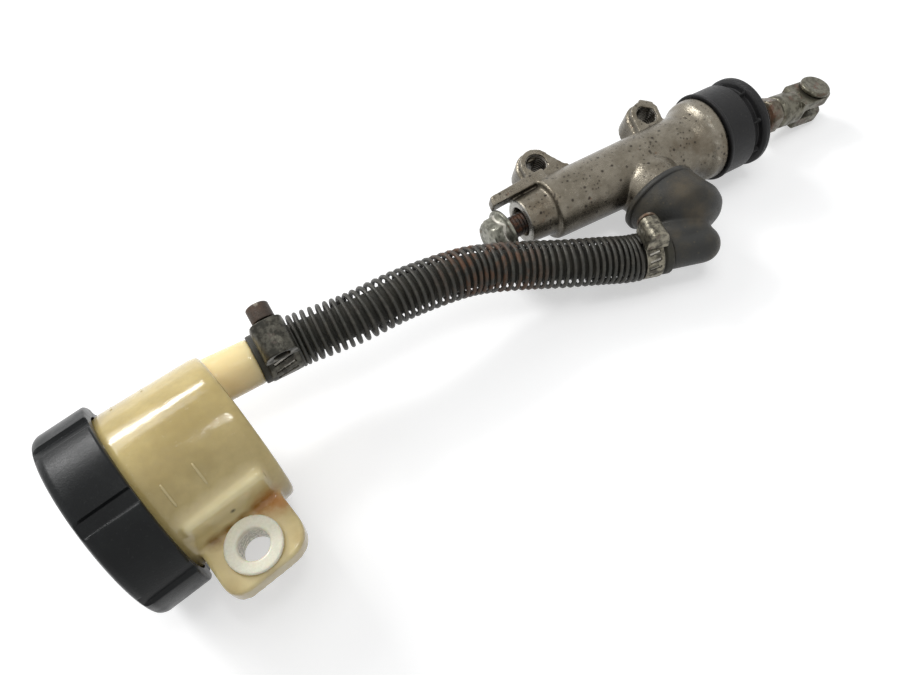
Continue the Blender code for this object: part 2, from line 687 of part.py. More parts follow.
def build_clevis_pin(frame, look):
    """The headed pin across the fork, with a groove for its clip, and the clip."""
    upright = (0.0, -math.pi / 2, 0.0)
    head = CLEVIS_HALF + GAP
    clip_top = -CLEVIS_HALF - GAP
    clip_low = clip_top - CLIP_THICKNESS
    tail = clip_low - 0.6 * MM
    profile = [
        (tail, 0.0),
        (tail, PIN_R - 0.4 * MM),
        (tail + 0.3 * MM, PIN_R),
        (clip_low - 0.1 * MM, PIN_R),
        (clip_low - 0.1 * MM, PIN_R * 0.7),
        (clip_top + 0.1 * MM, PIN_R * 0.7),
        (clip_top + 0.1 * MM, PIN_R),
        (head, PIN_R),
        (head, PIN_HEAD_R - 0.2 * MM),
        (head + 0.3 * MM, PIN_HEAD_R),
        (head + PIN_HEAD - 0.4 * MM, PIN_HEAD_R),
        (head + PIN_HEAD, PIN_HEAD_R - 0.5 * MM),
        (head + PIN_HEAD, 0.0),
    ]
    place = (PIN_PLACE, 0.0, 0.0)
    turned("clevis_pin", profile, frame, look, place, upright, steps=SMALL_ROUND + 8)
    outline = arc((0, 0), PIN_R * 1.7, 35.0, 325.0, 24)
    outline += arc((0, 0), PIN_R * 0.7 + GAP, 325.0, 35.0, 24)
    prism("pin_clip", outline, clip_low + 0.05 * MM, clip_top - 0.05 * MM, frame, look, place)


def leg_direction():
    return Vector((math.cos(LEG_TURN), math.sin(LEG_TURN), 0.0))


def build_elbow(frame, look, seal_look):
    """The moulded elbow: a bell over the inlet boss and a leg whose nipple takes the hose, with its seal."""
    outward = (0.0, 0.0, -math.pi / 2.0)
    place = (BOSS_X, 0.0, 0.0)
    end = ELBOW_START + ELBOW_LENGTH
    bell = [
        (0.0, 0.0, ELBOW_R - 0.5 * MM),
        (0.02, 0.0, ELBOW_R),
        (0.08, 0.0, ELBOW_R),
        (0.11, 0.0, ELBOW_R - 0.4 * MM),
        (0.36, 0.22, ELBOW_R - 0.5 * MM),
        (0.6, 0.55, ELBOW_R * 0.92),
        (0.8, 0.85, ELBOW_R * 0.74),
        (0.94, 1.0, ELBOW_R * 0.48),
        (1.0, 1.0, ELBOW_R * 0.16),
    ]
    rings = []
    for share, lean, radius in bell:
        across = BOSS_X + ELBOW_LEAN * lean
        along = ELBOW_START + ELBOW_LENGTH * share
        circle = arc((across, 0.0), radius, 0.0, 360.0 - 360.0 / ROUND, ROUND - 1)
        rings.append([(x, -along, z) for x, z in circle])
    elbow = loft("elbow", rings, frame, look, hollow=False)
    nose = [
        (LEG_LENGTH + LEG_R * math.sin(a), LEG_R * math.cos(a)) for a in np.linspace(0.0, math.pi / 2, 7)
    ]
    nose[-1] = (LEG_LENGTH + LEG_R, 0.0)
    leg_profile = [
        (-NIPPLE_LENGTH, 0.0),
        (-NIPPLE_LENGTH, NIPPLE_R - 0.5 * MM),
        (-NIPPLE_LENGTH + 0.8 * MM, NIPPLE_R),
        (GAP, NIPPLE_R),
        (GAP, LEG_R - 0.3 * MM),
        (GAP + 0.4 * MM, LEG_R),
    ]
    leg_turn = (0.0, 0.0, LEG_TURN)
    leg_profile += nose
    leg = turned("elbow_leg", leg_profile, frame, place=LEG_START, turn=leg_turn, steps=SMALL_ROUND + 4)
    combine(elbow, leg, "UNION")
    depth = BOSS_LENGTH + SEAL_THICKNESS + 2.0 * GAP
    hole = BOSS_R + GAP
    cavity = [
        (ELBOW_START - OVERLAP, 0.0),
        (ELBOW_START - OVERLAP, hole),
        (depth, hole),
        (depth, INLET_R),
        (end - 1.0 * MM, INLET_R),
        (end - 1.0 * MM, 0.0),
    ]
    combine(elbow, turned("elbow_cavity", cavity, frame, place=place, turn=outward), "DIFFERENCE")
    passage = [(-NIPPLE_LENGTH - OVERLAP, 0.0), (-NIPPLE_LENGTH - OVERLAP, PASSAGE_R)]
    passage += [(LEG_LENGTH - 2.0 * MM, PASSAGE_R), (LEG_LENGTH - 2.0 * MM, 0.0)]
    between_facets = (math.pi / SMALL_ROUND, 0.0, LEG_TURN)
    drill = turned("elbow_passage", passage, frame, place=LEG_START, turn=between_facets, steps=SMALL_ROUND)
    combine(elbow, drill, "DIFFERENCE")
    low = BOSS_LENGTH + GAP
    high = low + SEAL_THICKNESS
    inner = INLET_R + 0.8 * MM
    outer = hole - 2.0 * GAP
    ring_profile = [(low, inner), (low, outer), (high, outer), (high, inner)]
    turned("inlet_seal", ring_profile, frame, seal_look, place, outward, ring=True, steps=SMALL_ROUND)
    return elbow


def spigot_point(distance):
    """A point on the spigot's axis, in the frame of the whole object."""
    local = Vector((SPIGOT_START, SPIGOT_SIDE, SPIGOT_DROP))
    local += Vector((math.cos(SPIGOT_TURN), math.sin(SPIGOT_TURN), 0.0)) * distance
    return RESERVOIR_PLACE + Matrix.Rotation(RESERVOIR_TURN, 3, "Z") @ local


def hose_line():
    """The hose's centre line, square to the spigot at one end and to the elbow leg at the other."""
    lift = Vector((0.0, 0.0, BORE_HEIGHT))
    leg = leg_direction()
    end = lift + LEG_START
    shares = (0.0, 0.5, 1.0)
    straight = CLAMP_INSET + CLAMP_WIDTH + 2.0 * MM
    first = [spigot_point(SPIGOT_LENGTH + GAP + straight * share) for share in shares]
    last = [end - leg * straight * (1.0 - share) for share in shares]
    return smooth_route(first + list(HOSE_ROUTE) + last, 1.0 * MM)


def build_hose(frame, look, points, lengths):
    """The rubber hose, swollen at both ends where it is pushed over the nipples."""
    swell = CLAMP_INSET + CLAMP_WIDTH
    total = lengths[-1]
    thin = swell + HOSE_SWELL
    middle = np.linspace(thin, total - thin, max(int((total - 2.0 * thin) / HOSE_STEP), 8))
    distances = [0.0, swell / 2.0, swell, *middle, total - swell, total - swell / 2.0, total]
    centres = [along_route(points, lengths, distance) for distance in distances]
    radii = [HOSE_END_R if min(d, total - d) < thin - GAP else HOSE_R for d in distances]
    sides = 14
    outer = []
    inner = []
    for centre, radius, (_, up, side) in zip(centres, radii, frames_along(centres)):
        circle = arc((0.0, 0.0), 1.0, 0.0, 360.0 - 360.0 / sides, sides - 1)
        outer.append([centre + (side * a + up * b) * radius for a, b in circle])
        inner.append([centre + (side * a + up * b) * HOSE_BORE_R for a, b in circle])
    return loft("hose", outer + inner[::-1], frame, look)


def build_guard(frame, look, points, lengths):
    """The wire wound evenly round the hose between the clamps, each end straight for one wire."""
    wire = 2.0 * GUARD_WIRE_R
    start = CLAMP_INSET + CLAMP_WIDTH + HOSE_SWELL + GAP + wire
    span = lengths[-1] - 2.0 * start
    steps = GUARD_TURNS * GUARD_POINTS
    fine = [along_route(points, lengths, start + span * step / steps) for step in range(steps + 1)]
    frames = frames_along(fine)
    coil = []
    for step, (point, (_, up, side)) in enumerate(zip(fine, frames)):
        turn = 2.0 * math.pi * step / GUARD_POINTS
        coil.append(point + (up * math.cos(turn) + side * math.sin(turn)) * COIL_R)
    coil.insert(0, coil[0] - frames[0][0] * wire)
    coil.append(coil[-1] + frames[-1][0] * wire)
    places = np.array([tuple(point) for point in coil])
    apart = np.linalg.norm(places[:, None] - places[None], axis=2)
    index = np.arange(len(coil))
    near = np.abs(index[:, None] - index[None]) < GUARD_POINTS - 3
    least = float(np.where(near, np.inf, apart).min()) - wire
    print(f"spring_guard least gap to itself {least / MM:.2f} mm")
    return helix_tube("spring_guard", coil, GUARD_WIRE_R, frame, look)


def build_clamp(name, frame, roll, head_length, centre, direction, band_look, screw_look):
    """One worm-drive clamp: band, housing and screw, with the screw square to the hose."""
    turn = direction.to_track_quat("X", "Z").to_matrix() @ Matrix.Rotation(roll, 3, "X")
    holder = empty(f"clamp_{name}", frame, centre, turn.to_euler())
    half = CLAMP_WIDTH / 2.0
    outer = BAND_R + CLAMP_BAND
    ring_profile = [(-half, BAND_R), (-half, outer), (half, outer), (half, BAND_R)]
    turned(f"clamp_band_{name}", ring_profile, holder, band_look, ring=True)
    wide = HOUSING_WIDTH / 2.0
    crown = SCREW_R + GAP + 0.8 * MM
    outline = [(-wide, HOUSING_BASE), (wide, HOUSING_BASE), (wide, SCREW_CENTRE - 0.8 * MM)]
    outline += arc((0.0, SCREW_CENTRE), crown, 0.0, 180.0, 12)
    outline += [(-wide, SCREW_CENTRE - 0.8 * MM)]
    upright = (math.pi / 2.0, 0.0, 0.0)
    long = HOUSING_LENGTH / 2.0
    housing = prism(f"clamp_housing_{name}", outline, -long, long, holder, band_look, turn=upright)
    circle = arc((0.0, SCREW_CENTRE), SCREW_R + GAP, 0.0, 342.0, 19)
    bore = prism(f"clamp_bore_{name}", circle, -long - OVERLAP, long + OVERLAP, holder, turn=upright)
    combine(housing, bore, "DIFFERENCE")
    along_screw = (0.0, 0.0, math.pi / 2.0)
    head = long + GAP
    top = head + head_length
    screw_profile = [
        (-long, 0.0),
        (-long, SCREW_R - 0.4 * MM),
        (-long + 0.4 * MM, SCREW_R),
        (head, SCREW_R),
        (head, SCREW_HEAD_R),
        (top - 0.5 * MM, SCREW_HEAD_R),
        (top, SCREW_HEAD_R - 0.5 * MM),
        (top, 0.0),
    ]
    place = (0.0, 0.0, SCREW_CENTRE)
    turned(f"clamp_screw_{name}", screw_profile, holder, screw_look, place, along_screw, steps=18)


def build_reservoir(frame, look):
    """The moulded pot: neck, tapered wall, mounting lug with its pad, spigot and nipple, all hollow."""
    end = RESERVOIR_LENGTH
    base_r = RESERVOIR_R - RESERVOIR_TAPER
    profile = [
        (MOUTH_X, 0.0),
        (MOUTH_X, NECK_R),
        (CAP_HEIGHT + 0.5 * MM, NECK_R),
        (CAP_HEIGHT + 0.7 * MM, RESERVOIR_R),
        (end - 1.8 * MM, base_r),
        (end - 0.5 * MM, base_r - 0.6 * MM),
        (end, base_r - 1.8 * MM),
        (end, 0.0),
    ]
    pot = turned("reservoir_body", profile, frame, look, steps=ROUND + 8)
    stop = MOUNT_START + MOUNT_LENGTH
    far = -MOUNT_REACH
    tight = MOUNT_NEAR_CORNER
    wide = MOUNT_FAR_CORNER
    outline = [(stop, far * 0.45)]
    outline += arc((stop - wide, far + wide), wide, 0.0, -90.0, 6)
    outline += arc((MOUNT_START + tight, far + tight), tight, -90.0, -180.0, 6)
    outline += [(MOUNT_START, far * 0.45)]
    low = MOUNT_TOP - MOUNT_THICKNESS
    combine(pot, prism("mount_lug", outline[::-1], low, MOUNT_TOP, frame), "UNION")
    pad_top = RESERVOIR_R * 0.59
    pad_side = -BUSH_SIDE - BUSH_FLANGE_R - GAP
    pad = [
        (-low + 3.5 * MM, -pad_side),
        (-MOUNT_TOP, -pad_side),
        (-pad_top, -RESERVOIR_R * 0.89),
        (-pad_top, -RESERVOIR_R * 0.66),
        (-low + 3.5 * MM, -RESERVOIR_R * 0.66),
    ]
    facing = (0.0, math.pi / 2.0, 0.0)
    pad_solid = prism("mount_pad", pad, MOUNT_START + 0.3 * MM, stop - 0.5 * MM, frame, turn=facing)
    combine(pot, pad_solid, "UNION")
    place = (SPIGOT_START, SPIGOT_SIDE, SPIGOT_DROP)
    turn = (0.0, 0.0, SPIGOT_TURN)
    reach = SPIGOT_LENGTH + NIPPLE_LENGTH
    spigot_profile = [
        (-2.0 * MM, 0.0),
        (-2.0 * MM, SPIGOT_R * 0.55),
        (4.0 * MM, SPIGOT_R),
        (SPIGOT_LENGTH - 0.3 * MM, SPIGOT_R),
        (SPIGOT_LENGTH, SPIGOT_R - 0.3 * MM),
        (SPIGOT_LENGTH, NIPPLE_R),
        (reach - 0.8 * MM, NIPPLE_R),
        (reach, NIPPLE_R - 0.5 * MM),
        (reach, 0.0),
    ]
    spigot = turned("spigot", spigot_profile, frame, place=place, turn=turn, steps=SMALL_ROUND + 4)
    combine(pot, spigot, "UNION")
    floor = RESERVOIR_LENGTH - RESERVOIR_FLOOR
    cavity = [
        (MOUTH_X - OVERLAP, 0.0),
        (MOUTH_X - OVERLAP, CAVITY_R),
        (floor - 1.5 * MM, CAVITY_R - RESERVOIR_TAPER),
        (floor, CAVITY_R - RESERVOIR_TAPER - 1.5 * MM),
        (floor, 0.0),
    ]
    sides = ROUND + 8
    hollow = turned("cavity", cavity, frame, turn=(math.pi / sides, 0.0, 0.0), steps=sides)
    combine(pot, hollow, "DIFFERENCE")
    passage = [(2.0 * MM, 0.0), (2.0 * MM, PASSAGE_R), (reach + OVERLAP, PASSAGE_R), (reach + OVERLAP, 0.0)]
    between_facets = (math.pi / SMALL_ROUND, 0.0, SPIGOT_TURN)
    drill = turned("spigot_passage", passage, frame, place=place, turn=between_facets, steps=SMALL_ROUND)
    combine(pot, drill, "DIFFERENCE")
    circle = arc((BUSH_ALONG, BUSH_SIDE), BUSH_R + GAP, 0.0, 348.0, 29)
    combine(pot, prism("bush_hole", circle, low - OVERLAP, MOUNT_TOP + OVERLAP, frame), "DIFFERENCE")
    return pot


def build_bush(frame, look):
    """The flanged bush in the reservoir's lug."""
    low = MOUNT_TOP - MOUNT_THICKNESS
    seat = MOUNT_TOP + GAP
    top = seat + BUSH_FLANGE
    profile = [
        (low, BUSH_HOLE_R),
        (low, BUSH_R),
        (seat, BUSH_R),
        (seat, BUSH_FLANGE_R),
        (top - 0.4 * MM, BUSH_FLANGE_R),
        (top, BUSH_FLANGE_R - 0.4 * MM),
        (top, BUSH_HOLE_R),
    ]
    place = (BUSH_ALONG, BUSH_SIDE, 0.0)
    return turned("lug_bush", profile, frame, look, place, (0.0, -math.pi / 2.0, 0.0), ring=True)


def build_cap(frame, look, ring_look, rubber_look):
    """The screw cap with its grip grooves, the slip ring under it and the bellows diaphragm in the mouth."""
    inner = CAP_R - CAP_WALL
    profile = [
        (0.0, 0.0),
        (0.0, CAP_R - 1.8 * MM),
        (0.5 * MM, CAP_R - 0.7 * MM),
        (1.6 * MM, CAP_R - 0.1 * MM),
        (CAP_HEIGHT - 0.4 * MM, CAP_R),
        (CAP_HEIGHT, CAP_R - 0.4 * MM),
        (CAP_HEIGHT, inner),
        (CAP_TOP, inner),
        (CAP_TOP, 0.0),
    ]
    cap = turned("cap", profile, frame, look, steps=CAP_GROOVES * 8)
    half = CAP_GROOVE_WIDTH / 2.0
    depth = CAP_R - CAP_GROOVE_DEPTH
    reach = CAP_R + OVERLAP
    foot = CAP_HEIGHT + OVERLAP
    for index in range(CAP_GROOVES):
        angle = CAP_GROOVE_TURN + 2.0 * math.pi * index / CAP_GROOVES
        outline = [(-OVERLAP, -half), (foot, -half), (foot, half), (-OVERLAP, half)]
        groove = prism(f"cap_groove_{index}", outline, depth, reach, frame, turn=(angle, 0.0, 0.0))
        combine(cap, groove, "DIFFERENCE")
    ring_end = SLIP_RING_X + SLIP_RING
    hole = NECK_R * 0.5
    ring_profile = [(SLIP_RING_X, hole), (SLIP_RING_X, NECK_R), (ring_end, NECK_R), (ring_end, hole)]
    turned("slip_ring", ring_profile, frame, ring_look, ring=True)
    flange_end = DIAPHRAGM_X + DIAPHRAGM
    cup = CAVITY_R - 1.4 * MM
    low = flange_end + DIAPHRAGM_DEPTH
    bellows = [
        (low, 0.0),
        (low, cup - 2.2 * MM),
        (low - 1.0 * MM, cup - 0.8 * MM),
        (flange_end, cup),
        (flange_end, NECK_R),
        (DIAPHRAGM_X, NECK_R),
        (DIAPHRAGM_X, cup - DIAPHRAGM),
        (low - 1.6 * MM, cup - 0.8 * MM - DIAPHRAGM),
        (low - DIAPHRAGM, cup - 2.6 * MM - DIAPHRAGM),
        (low - DIAPHRAGM, 0.0),
    ]
    turned("diaphragm", bellows, frame, rubber_look, steps=SMALL_ROUND + 4)


def settle(assembly):
    """Puts the middle of the object's box over the origin and its lowest point at Z = 0."""
    bpy.context.view_layer.update()
    graph = bpy.context.evaluated_depsgraph_get()
    corners = []
    for piece in bpy.context.scene.objects:
        if piece.type == "EMPTY" or piece.hide_render:
            continue
        shape = piece.evaluated_get(graph)
        mesh = shape.to_mesh()
        count = len(mesh.vertices)
        flat = np.empty(count * 3)
        mesh.vertices.foreach_get("co", flat)
        shape.to_mesh_clear()
        turn = np.array(piece.matrix_world)
        world = flat.reshape(-1, 3) @ turn[:3, :3].T + turn[:3, 3]
        corners += [world.min(axis=0), world.max(axis=0)]
    low = np.min(corners, axis=0)
    high = np.max(corners, axis=0)
    assembly.location = (-(low[0] + high[0]) / 2.0, -(low[1] + high[1]) / 2.0, -low[2])
    bpy.context.view_layer.update()
    print("box in mm", np.round((high - low) / MM, 1))
    print("moved by", np.round(np.array(assembly.location) / MM, 3))


def build():
    clear_scene()
    cast = material("cast_aluminium", (0.23, 0.20, 0.16), 0.5, 0.8)
    zinc = material("zinc_plate", (0.42, 0.41, 0.38), 0.4, 0.9)
    rusty = material("rusty_steel", (0.16, 0.12, 0.08), 0.7, 0.6)
    steel = material("spring_steel", (0.35, 0.35, 0.34), 0.35, 1.0)
    alloy = material("turned_alloy", (0.6, 0.6, 0.58), 0.3, 1.0)
    rubber = material("black_rubber", (0.025, 0.025, 0.025), 0.6)
    grey_rubber = material("grey_elbow", (0.06, 0.06, 0.055), 0.55)
    nylon = material("yellowed_nylon", (0.62, 0.48, 0.24), 0.3)
    white = material("white_nylon", (0.85, 0.84, 0.76), 0.4)
    black = material("black_cap", (0.018, 0.019, 0.02), 0.45)

    assembly = empty("assembly")
    level = empty("cylinder_level", assembly, (0.0, 0.0, BORE_HEIGHT))
    cylinder = empty("cylinder_frame", level, turn=(BODY_ROLL, 0.0, 0.0))
    rod = empty("pushrod_pivot", level, (BALL_X, 0.0, 0.0), (0.0, ROD_DROOP, 0.0))
    reservoir = empty("reservoir_frame", assembly, RESERVOIR_PLACE, (0.0, 0.0, RESERVOIR_TURN))

    build_cylinder(cylinder, cast)
    build_port_bolt(cylinder, zinc)
    build_piston(cylinder, alloy)
    build_cup("primary_cup", PISTON_NOSE_X + 1.2 * MM, cylinder, rubber)
    build_cup("secondary_cup", SECOND_CUP_X, cylinder, rubber)
    build_return_spring(cylinder, steel)
    build_stop(cylinder, steel)
    build_boot(level, rubber)
    build_pushrod(rod, rusty)
    build_lock_nut(rod, rusty)
    build_clevis(rod, rusty)
    build_clevis_pin(rod, rusty)
    build_elbow(level, grey_rubber, rubber)

    points, lengths = hose_line()
    build_hose(assembly, rubber, points, lengths)
    build_guard(assembly, rusty, points, lengths)
    inset = CLAMP_INSET + CLAMP_WIDTH / 2.0
    reach = 1.0 * MM
    places = (inset, lengths[-1] - inset)
    for name, roll, head, distance in zip(("reservoir", "elbow"), CLAMP_ROLLS, SCREW_HEADS, places):
        centre = along_route(points, lengths, distance)
        ahead = along_route(points, lengths, distance + reach)
        behind = along_route(points, lengths, distance - reach)
        build_clamp(name, assembly, roll, head, centre, (ahead - behind).normalized(), zinc, rusty)

    build_reservoir(reservoir, nylon)
    build_bush(reservoir, white)
    build_cap(reservoir, black, white, rubber)
    settle(assembly)


build()
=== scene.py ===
import json

import bmesh
import bpy
import numpy as np
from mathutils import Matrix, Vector


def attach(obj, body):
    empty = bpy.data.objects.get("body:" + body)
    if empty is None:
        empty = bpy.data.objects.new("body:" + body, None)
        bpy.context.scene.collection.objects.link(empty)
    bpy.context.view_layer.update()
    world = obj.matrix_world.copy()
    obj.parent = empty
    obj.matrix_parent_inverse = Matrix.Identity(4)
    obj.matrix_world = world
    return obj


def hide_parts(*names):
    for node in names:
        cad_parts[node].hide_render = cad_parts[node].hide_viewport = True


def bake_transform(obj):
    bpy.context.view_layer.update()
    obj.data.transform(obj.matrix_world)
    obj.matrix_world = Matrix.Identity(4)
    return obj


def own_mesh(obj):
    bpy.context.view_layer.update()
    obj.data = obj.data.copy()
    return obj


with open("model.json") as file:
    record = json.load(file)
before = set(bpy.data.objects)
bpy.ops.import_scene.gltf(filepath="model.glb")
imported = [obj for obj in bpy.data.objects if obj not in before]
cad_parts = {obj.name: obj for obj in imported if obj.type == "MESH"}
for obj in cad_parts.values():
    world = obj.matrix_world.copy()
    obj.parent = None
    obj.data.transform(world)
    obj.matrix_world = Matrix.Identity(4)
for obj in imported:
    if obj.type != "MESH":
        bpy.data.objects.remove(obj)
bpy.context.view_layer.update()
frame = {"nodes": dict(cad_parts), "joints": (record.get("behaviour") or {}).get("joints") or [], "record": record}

# Table, light and camera: a white sheet in soft daylight from a window behind the object, seen from above.
# The camera hangs at a fixed place from the ball of the pushrod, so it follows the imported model.
MM = 0.001
joints = {joint["name"]: joint for joint in frame["joints"]}
mounts = {mount["name"]: mount for mount in frame["record"]["mounts"]}
ball = np.array(joints["pushrod_swing"]["pos_m"])
CAMERA_FROM_BALL = np.array((-147.43, -103.7, 162.05)) * MM
CAMERA_TILT = np.radians(30.0)
CAMERA_TURN = np.radians(-30.0)
LENS_LENGTH = 29.12
SENSOR_WIDTH = 36.0
scene = bpy.context.scene
scene.view_settings.view_transform = "Standard"
lens = bpy.data.cameras.new("camera")
lens.lens = LENS_LENGTH
lens.sensor_width = SENSOR_WIDTH
lens.clip_start = 0.01
camera = bpy.data.objects.new("camera", lens)
camera.location = ball + CAMERA_FROM_BALL
camera.rotation_euler = (CAMERA_TILT, 0.0, CAMERA_TURN)
scene.collection.objects.link(camera)
scene.camera = camera


def add(tree, kind, inputs=None, **settings):
    """A shader node with its settings, and its inputs set to values or joined to sockets."""
    made = tree.nodes.new("ShaderNode" + kind)
    for key, value in settings.items():
        setattr(made, key, value)
    for key, value in (inputs or {}).items():
        if isinstance(value, bpy.types.NodeSocket):
            tree.links.new(value, made.inputs[key])
        else:
            made.inputs[key].default_value = value
    return made


def seen_directly(tree):
    """One where a ray comes from the camera, a reflection or a clear body, and zero for diffuse light."""
    path = add(tree, "LightPath")
    share = path.outputs["Is Camera Ray"]
    for other in ("Is Glossy Ray", "Is Transmission Ray"):
        share = add(tree, "Math", {0: share, 1: path.outputs[other]}, operation="MAXIMUM").outputs[0]
    return share


world = bpy.data.worlds.new("daylight")
world.use_nodes = True
sky = world.node_tree
sky.nodes.clear()
dim = add(sky, "Background", {"Color": (0.62, 0.63, 0.64, 1.0), "Strength": 0.5})
white = add(sky, "Background", {"Color": (1.0, 1.0, 1.0, 1.0), "Strength": 1.0})
sky_mix = add(sky, "MixShader", {0: seen_directly(sky), 1: dim.outputs[0], 2: white.outputs[0]})
add(sky, "OutputWorld", {"Surface": sky_mix.outputs[0]})
scene.world = world

sheet = bpy.data.meshes.new("table_sheet")
sheet.from_pydata([(-3, -3, 0), (3, -3, 0), (3, 3, 0), (-3, 3, 0)], [], [(0, 1, 2, 3)])
table = bpy.data.objects.new("table_sheet", sheet)
scene.collection.objects.link(table)
paper = bpy.data.materials.new("white_paper")
paper.use_nodes = True
paper.node_tree.nodes.clear()
matt = add(paper.node_tree, "BsdfDiffuse", {"Color": (0.68, 0.68, 0.68, 1.0)})
spot = add(paper.node_tree, "TexCoord").outputs["Object"]
away = add(paper.node_tree, "VectorMath", {0: spot}, operation="LENGTH").outputs["Value"]
fade = {"Value": away, "From Min": 0.3, "From Max": 1.0, "To Min": 0.5, "To Max": 1.0}
level = add(paper.node_tree, "MapRange", fade).outputs[0]
lift = add(paper.node_tree, "Math", {0: seen_directly(paper.node_tree), 1: level}, operation="MULTIPLY")
glow = add(paper.node_tree, "Emission", {"Strength": lift.outputs[0]})
both = add(paper.node_tree, "AddShader", {0: matt.outputs[0], 1: glow.outputs[0]})
add(paper.node_tree, "OutputMaterial", {"Surface": both.outputs[0]})
sheet.materials.append(paper)

for name, place, wide, high, power, mirrored in (
    ("window", (-0.28, 0.62, 0.50), 0.32, 0.085, 2.6, True),
    ("daylight", (-0.42, 0.70, 0.66), 0.5, 0.5, 3.0, True),
    ("ceiling", (-0.06, 0.06, 0.85), 0.5, 0.5, 2.0, False),
    ("lamp", (0.045, -0.076, 0.85), 0.03, 0.15, 0.5, True),
):
    lamp = bpy.data.lights.new(name, "AREA")
    lamp.shape = "RECTANGLE"
    lamp.size = wide
    lamp.size_y = high
    lamp.energy = power
    holder = bpy.data.objects.new(name, lamp)
    holder.location = place
    holder.visible_glossy = mirrored
    holder.rotation_euler = (-Vector(place)).to_track_quat("-Z", "Y").to_euler()
    scene.collection.objects.link(holder)

# Cast cylinder: sand-blasted aluminium, cast in one with its outlet port, two lugs, inlet boss and stop tab.
# The port face and lug holes are machined, and years of road dirt and brake fluid have left stains on the rest.
# Its downward faces carry painted shade, and a painted highlight runs round the bead.
BALL_ALONG = 31.0 * MM
bore_middle = ball - (BALL_ALONG, 0.0, 0.0)
bore_x = np.array((1.0, 0.0, 0.0))
lug_up = np.array(mounts["lug_face_front"]["axis"])
PORT_FACE = -33.5 * MM
PORT_RADIUS = 6.5 * MM
PORT_END = -25.2 * MM
PORT_HOLE = 4.2 * MM
TUBE_FRONT = 8.8 * MM
TUBE_REAR = 9.7 * MM
BEAD = 29.6 * MM
BEAD_RADIUS = 12.5 * MM
SEAT_RADIUS = 10.1 * MM
TUBE_END = 41.0 * MM
BORE_RADIUS = 7.0 * MM
BORE_FLOOR = -17.0 * MM
LUG_APART = 40.0 * MM
LUG_OUT = 13.6 * MM
LUG_RADIUS = 5.7 * MM
LUG_FACE_RADIUS = 4.9 * MM
LUG_HOLE = 3.2 * MM
LUG_TOP = 1.6 * MM
LUG_LOW = -8.4 * MM
LUG_STEP = -1.0 * MM
BOSS_ALONG = 6.0 * MM
TAB_LOW = 1.2 * MM
TAB_TOP = 5.3 * MM
CASTING_VOXEL = 0.31 * MM


def standing(origin, along, up):
    """A place for a piece: its origin, and the turn whose columns are its X, Y and Z directions."""
    along = np.asarray(along) / np.linalg.norm(along)
    side = np.cross(up, along)
    side = side / np.linalg.norm(side)
    return np.asarray(origin), np.column_stack((along, side, np.cross(along, side)))


def placed(grid, spot):
    """Each point turned, then moved: origin plus turn times point."""
    return grid @ spot[1].T + spot[0]


def rounded(corners, radius, steps=5, closed=False):
    """A line whose corners are eased: each is a parabola from a point before the corner to one after it."""
    corners = np.asarray(corners, dtype=float)
    before = np.roll(corners, 1, axis=0) - corners
    after = np.roll(corners, -1, axis=0) - corners
    reach_before = np.maximum(np.linalg.norm(before, axis=1), 1e-9)
    reach_after = np.maximum(np.linalg.norm(after, axis=1), 1e-9)
    shorter = np.minimum(reach_before, reach_after)
    trim = np.minimum(np.broadcast_to(radius, shorter.shape), 0.49 * shorter)
    if not closed:
        trim[[0, -1]] = 0.0
    start = corners + before * (trim / reach_before)[:, None]
    end = corners + after * (trim / reach_after)[:, None]
    share = np.linspace(0.0, 1.0, steps + 1)[None, :, None]
    eased = (1 - share) ** 2 * start[:, None] + 2 * share * (1 - share) * corners[:, None]
    eased += share**2 * end[:, None]
    line = eased.reshape(-1, corners.shape[1])
    keep = np.r_[True, np.linalg.norm(np.diff(line, axis=0), axis=1) > 1e-8]
    return line[keep]


def full_turn(sides):
    """Evenly spaced angles round a circle, without the last one."""
    return np.linspace(0.0, 2.0 * np.pi, sides, endpoint=False)


def ringed(along, radius, angle):
    """Rings about X: (x, -r sin a, r cos a) for each place x, radius r and angle a."""
    return np.stack(np.broadcast_arrays(along, -radius * np.sin(angle), radius * np.cos(angle)), axis=-1)


def around(profile, sides):
    """A turned surface: point (x, r) of the profile goes to (x, -r sin a, r cos a) for every angle a."""
    angle = full_turn(sides)
    along, radius = np.asarray(profile).T[:, :, None]
    return ringed(along, radius, angle)


def drilled_plate(outline, centre, radius, low, high):
    """A plate with a hole: the outline, and the same points drawn in to a circle, at both heights."""
    outline = np.asarray(outline)
    spoke = outline - centre
    circle = centre + radius * spoke / np.linalg.norm(spoke, axis=1)[:, None]
    rings = [np.column_stack((ring, np.full(len(ring), height))) for ring, height in (
        (outline, low), (outline, high), (circle, high), (circle, low), (outline, low))]
    return np.stack(rings)


def plate(outline, low, high, edge=0.0):
    """A plate with eased edges: the outline at both heights, drawn in by edge at its faces, with centres."""
    outline = np.asarray(outline)
    middle = outline.mean(axis=0)
    spoke = middle - outline
    drawn = outline + spoke * (edge / np.linalg.norm(spoke, axis=1))[:, None]
    point = np.broadcast_to(middle, outline.shape)
    rings = (
        (point, low), (drawn, low), (outline, low + edge),
        (outline, high - edge), (drawn, high), (point, high))
    return np.stack([np.column_stack((ring, np.full(len(ring), height))) for ring, height in rings])


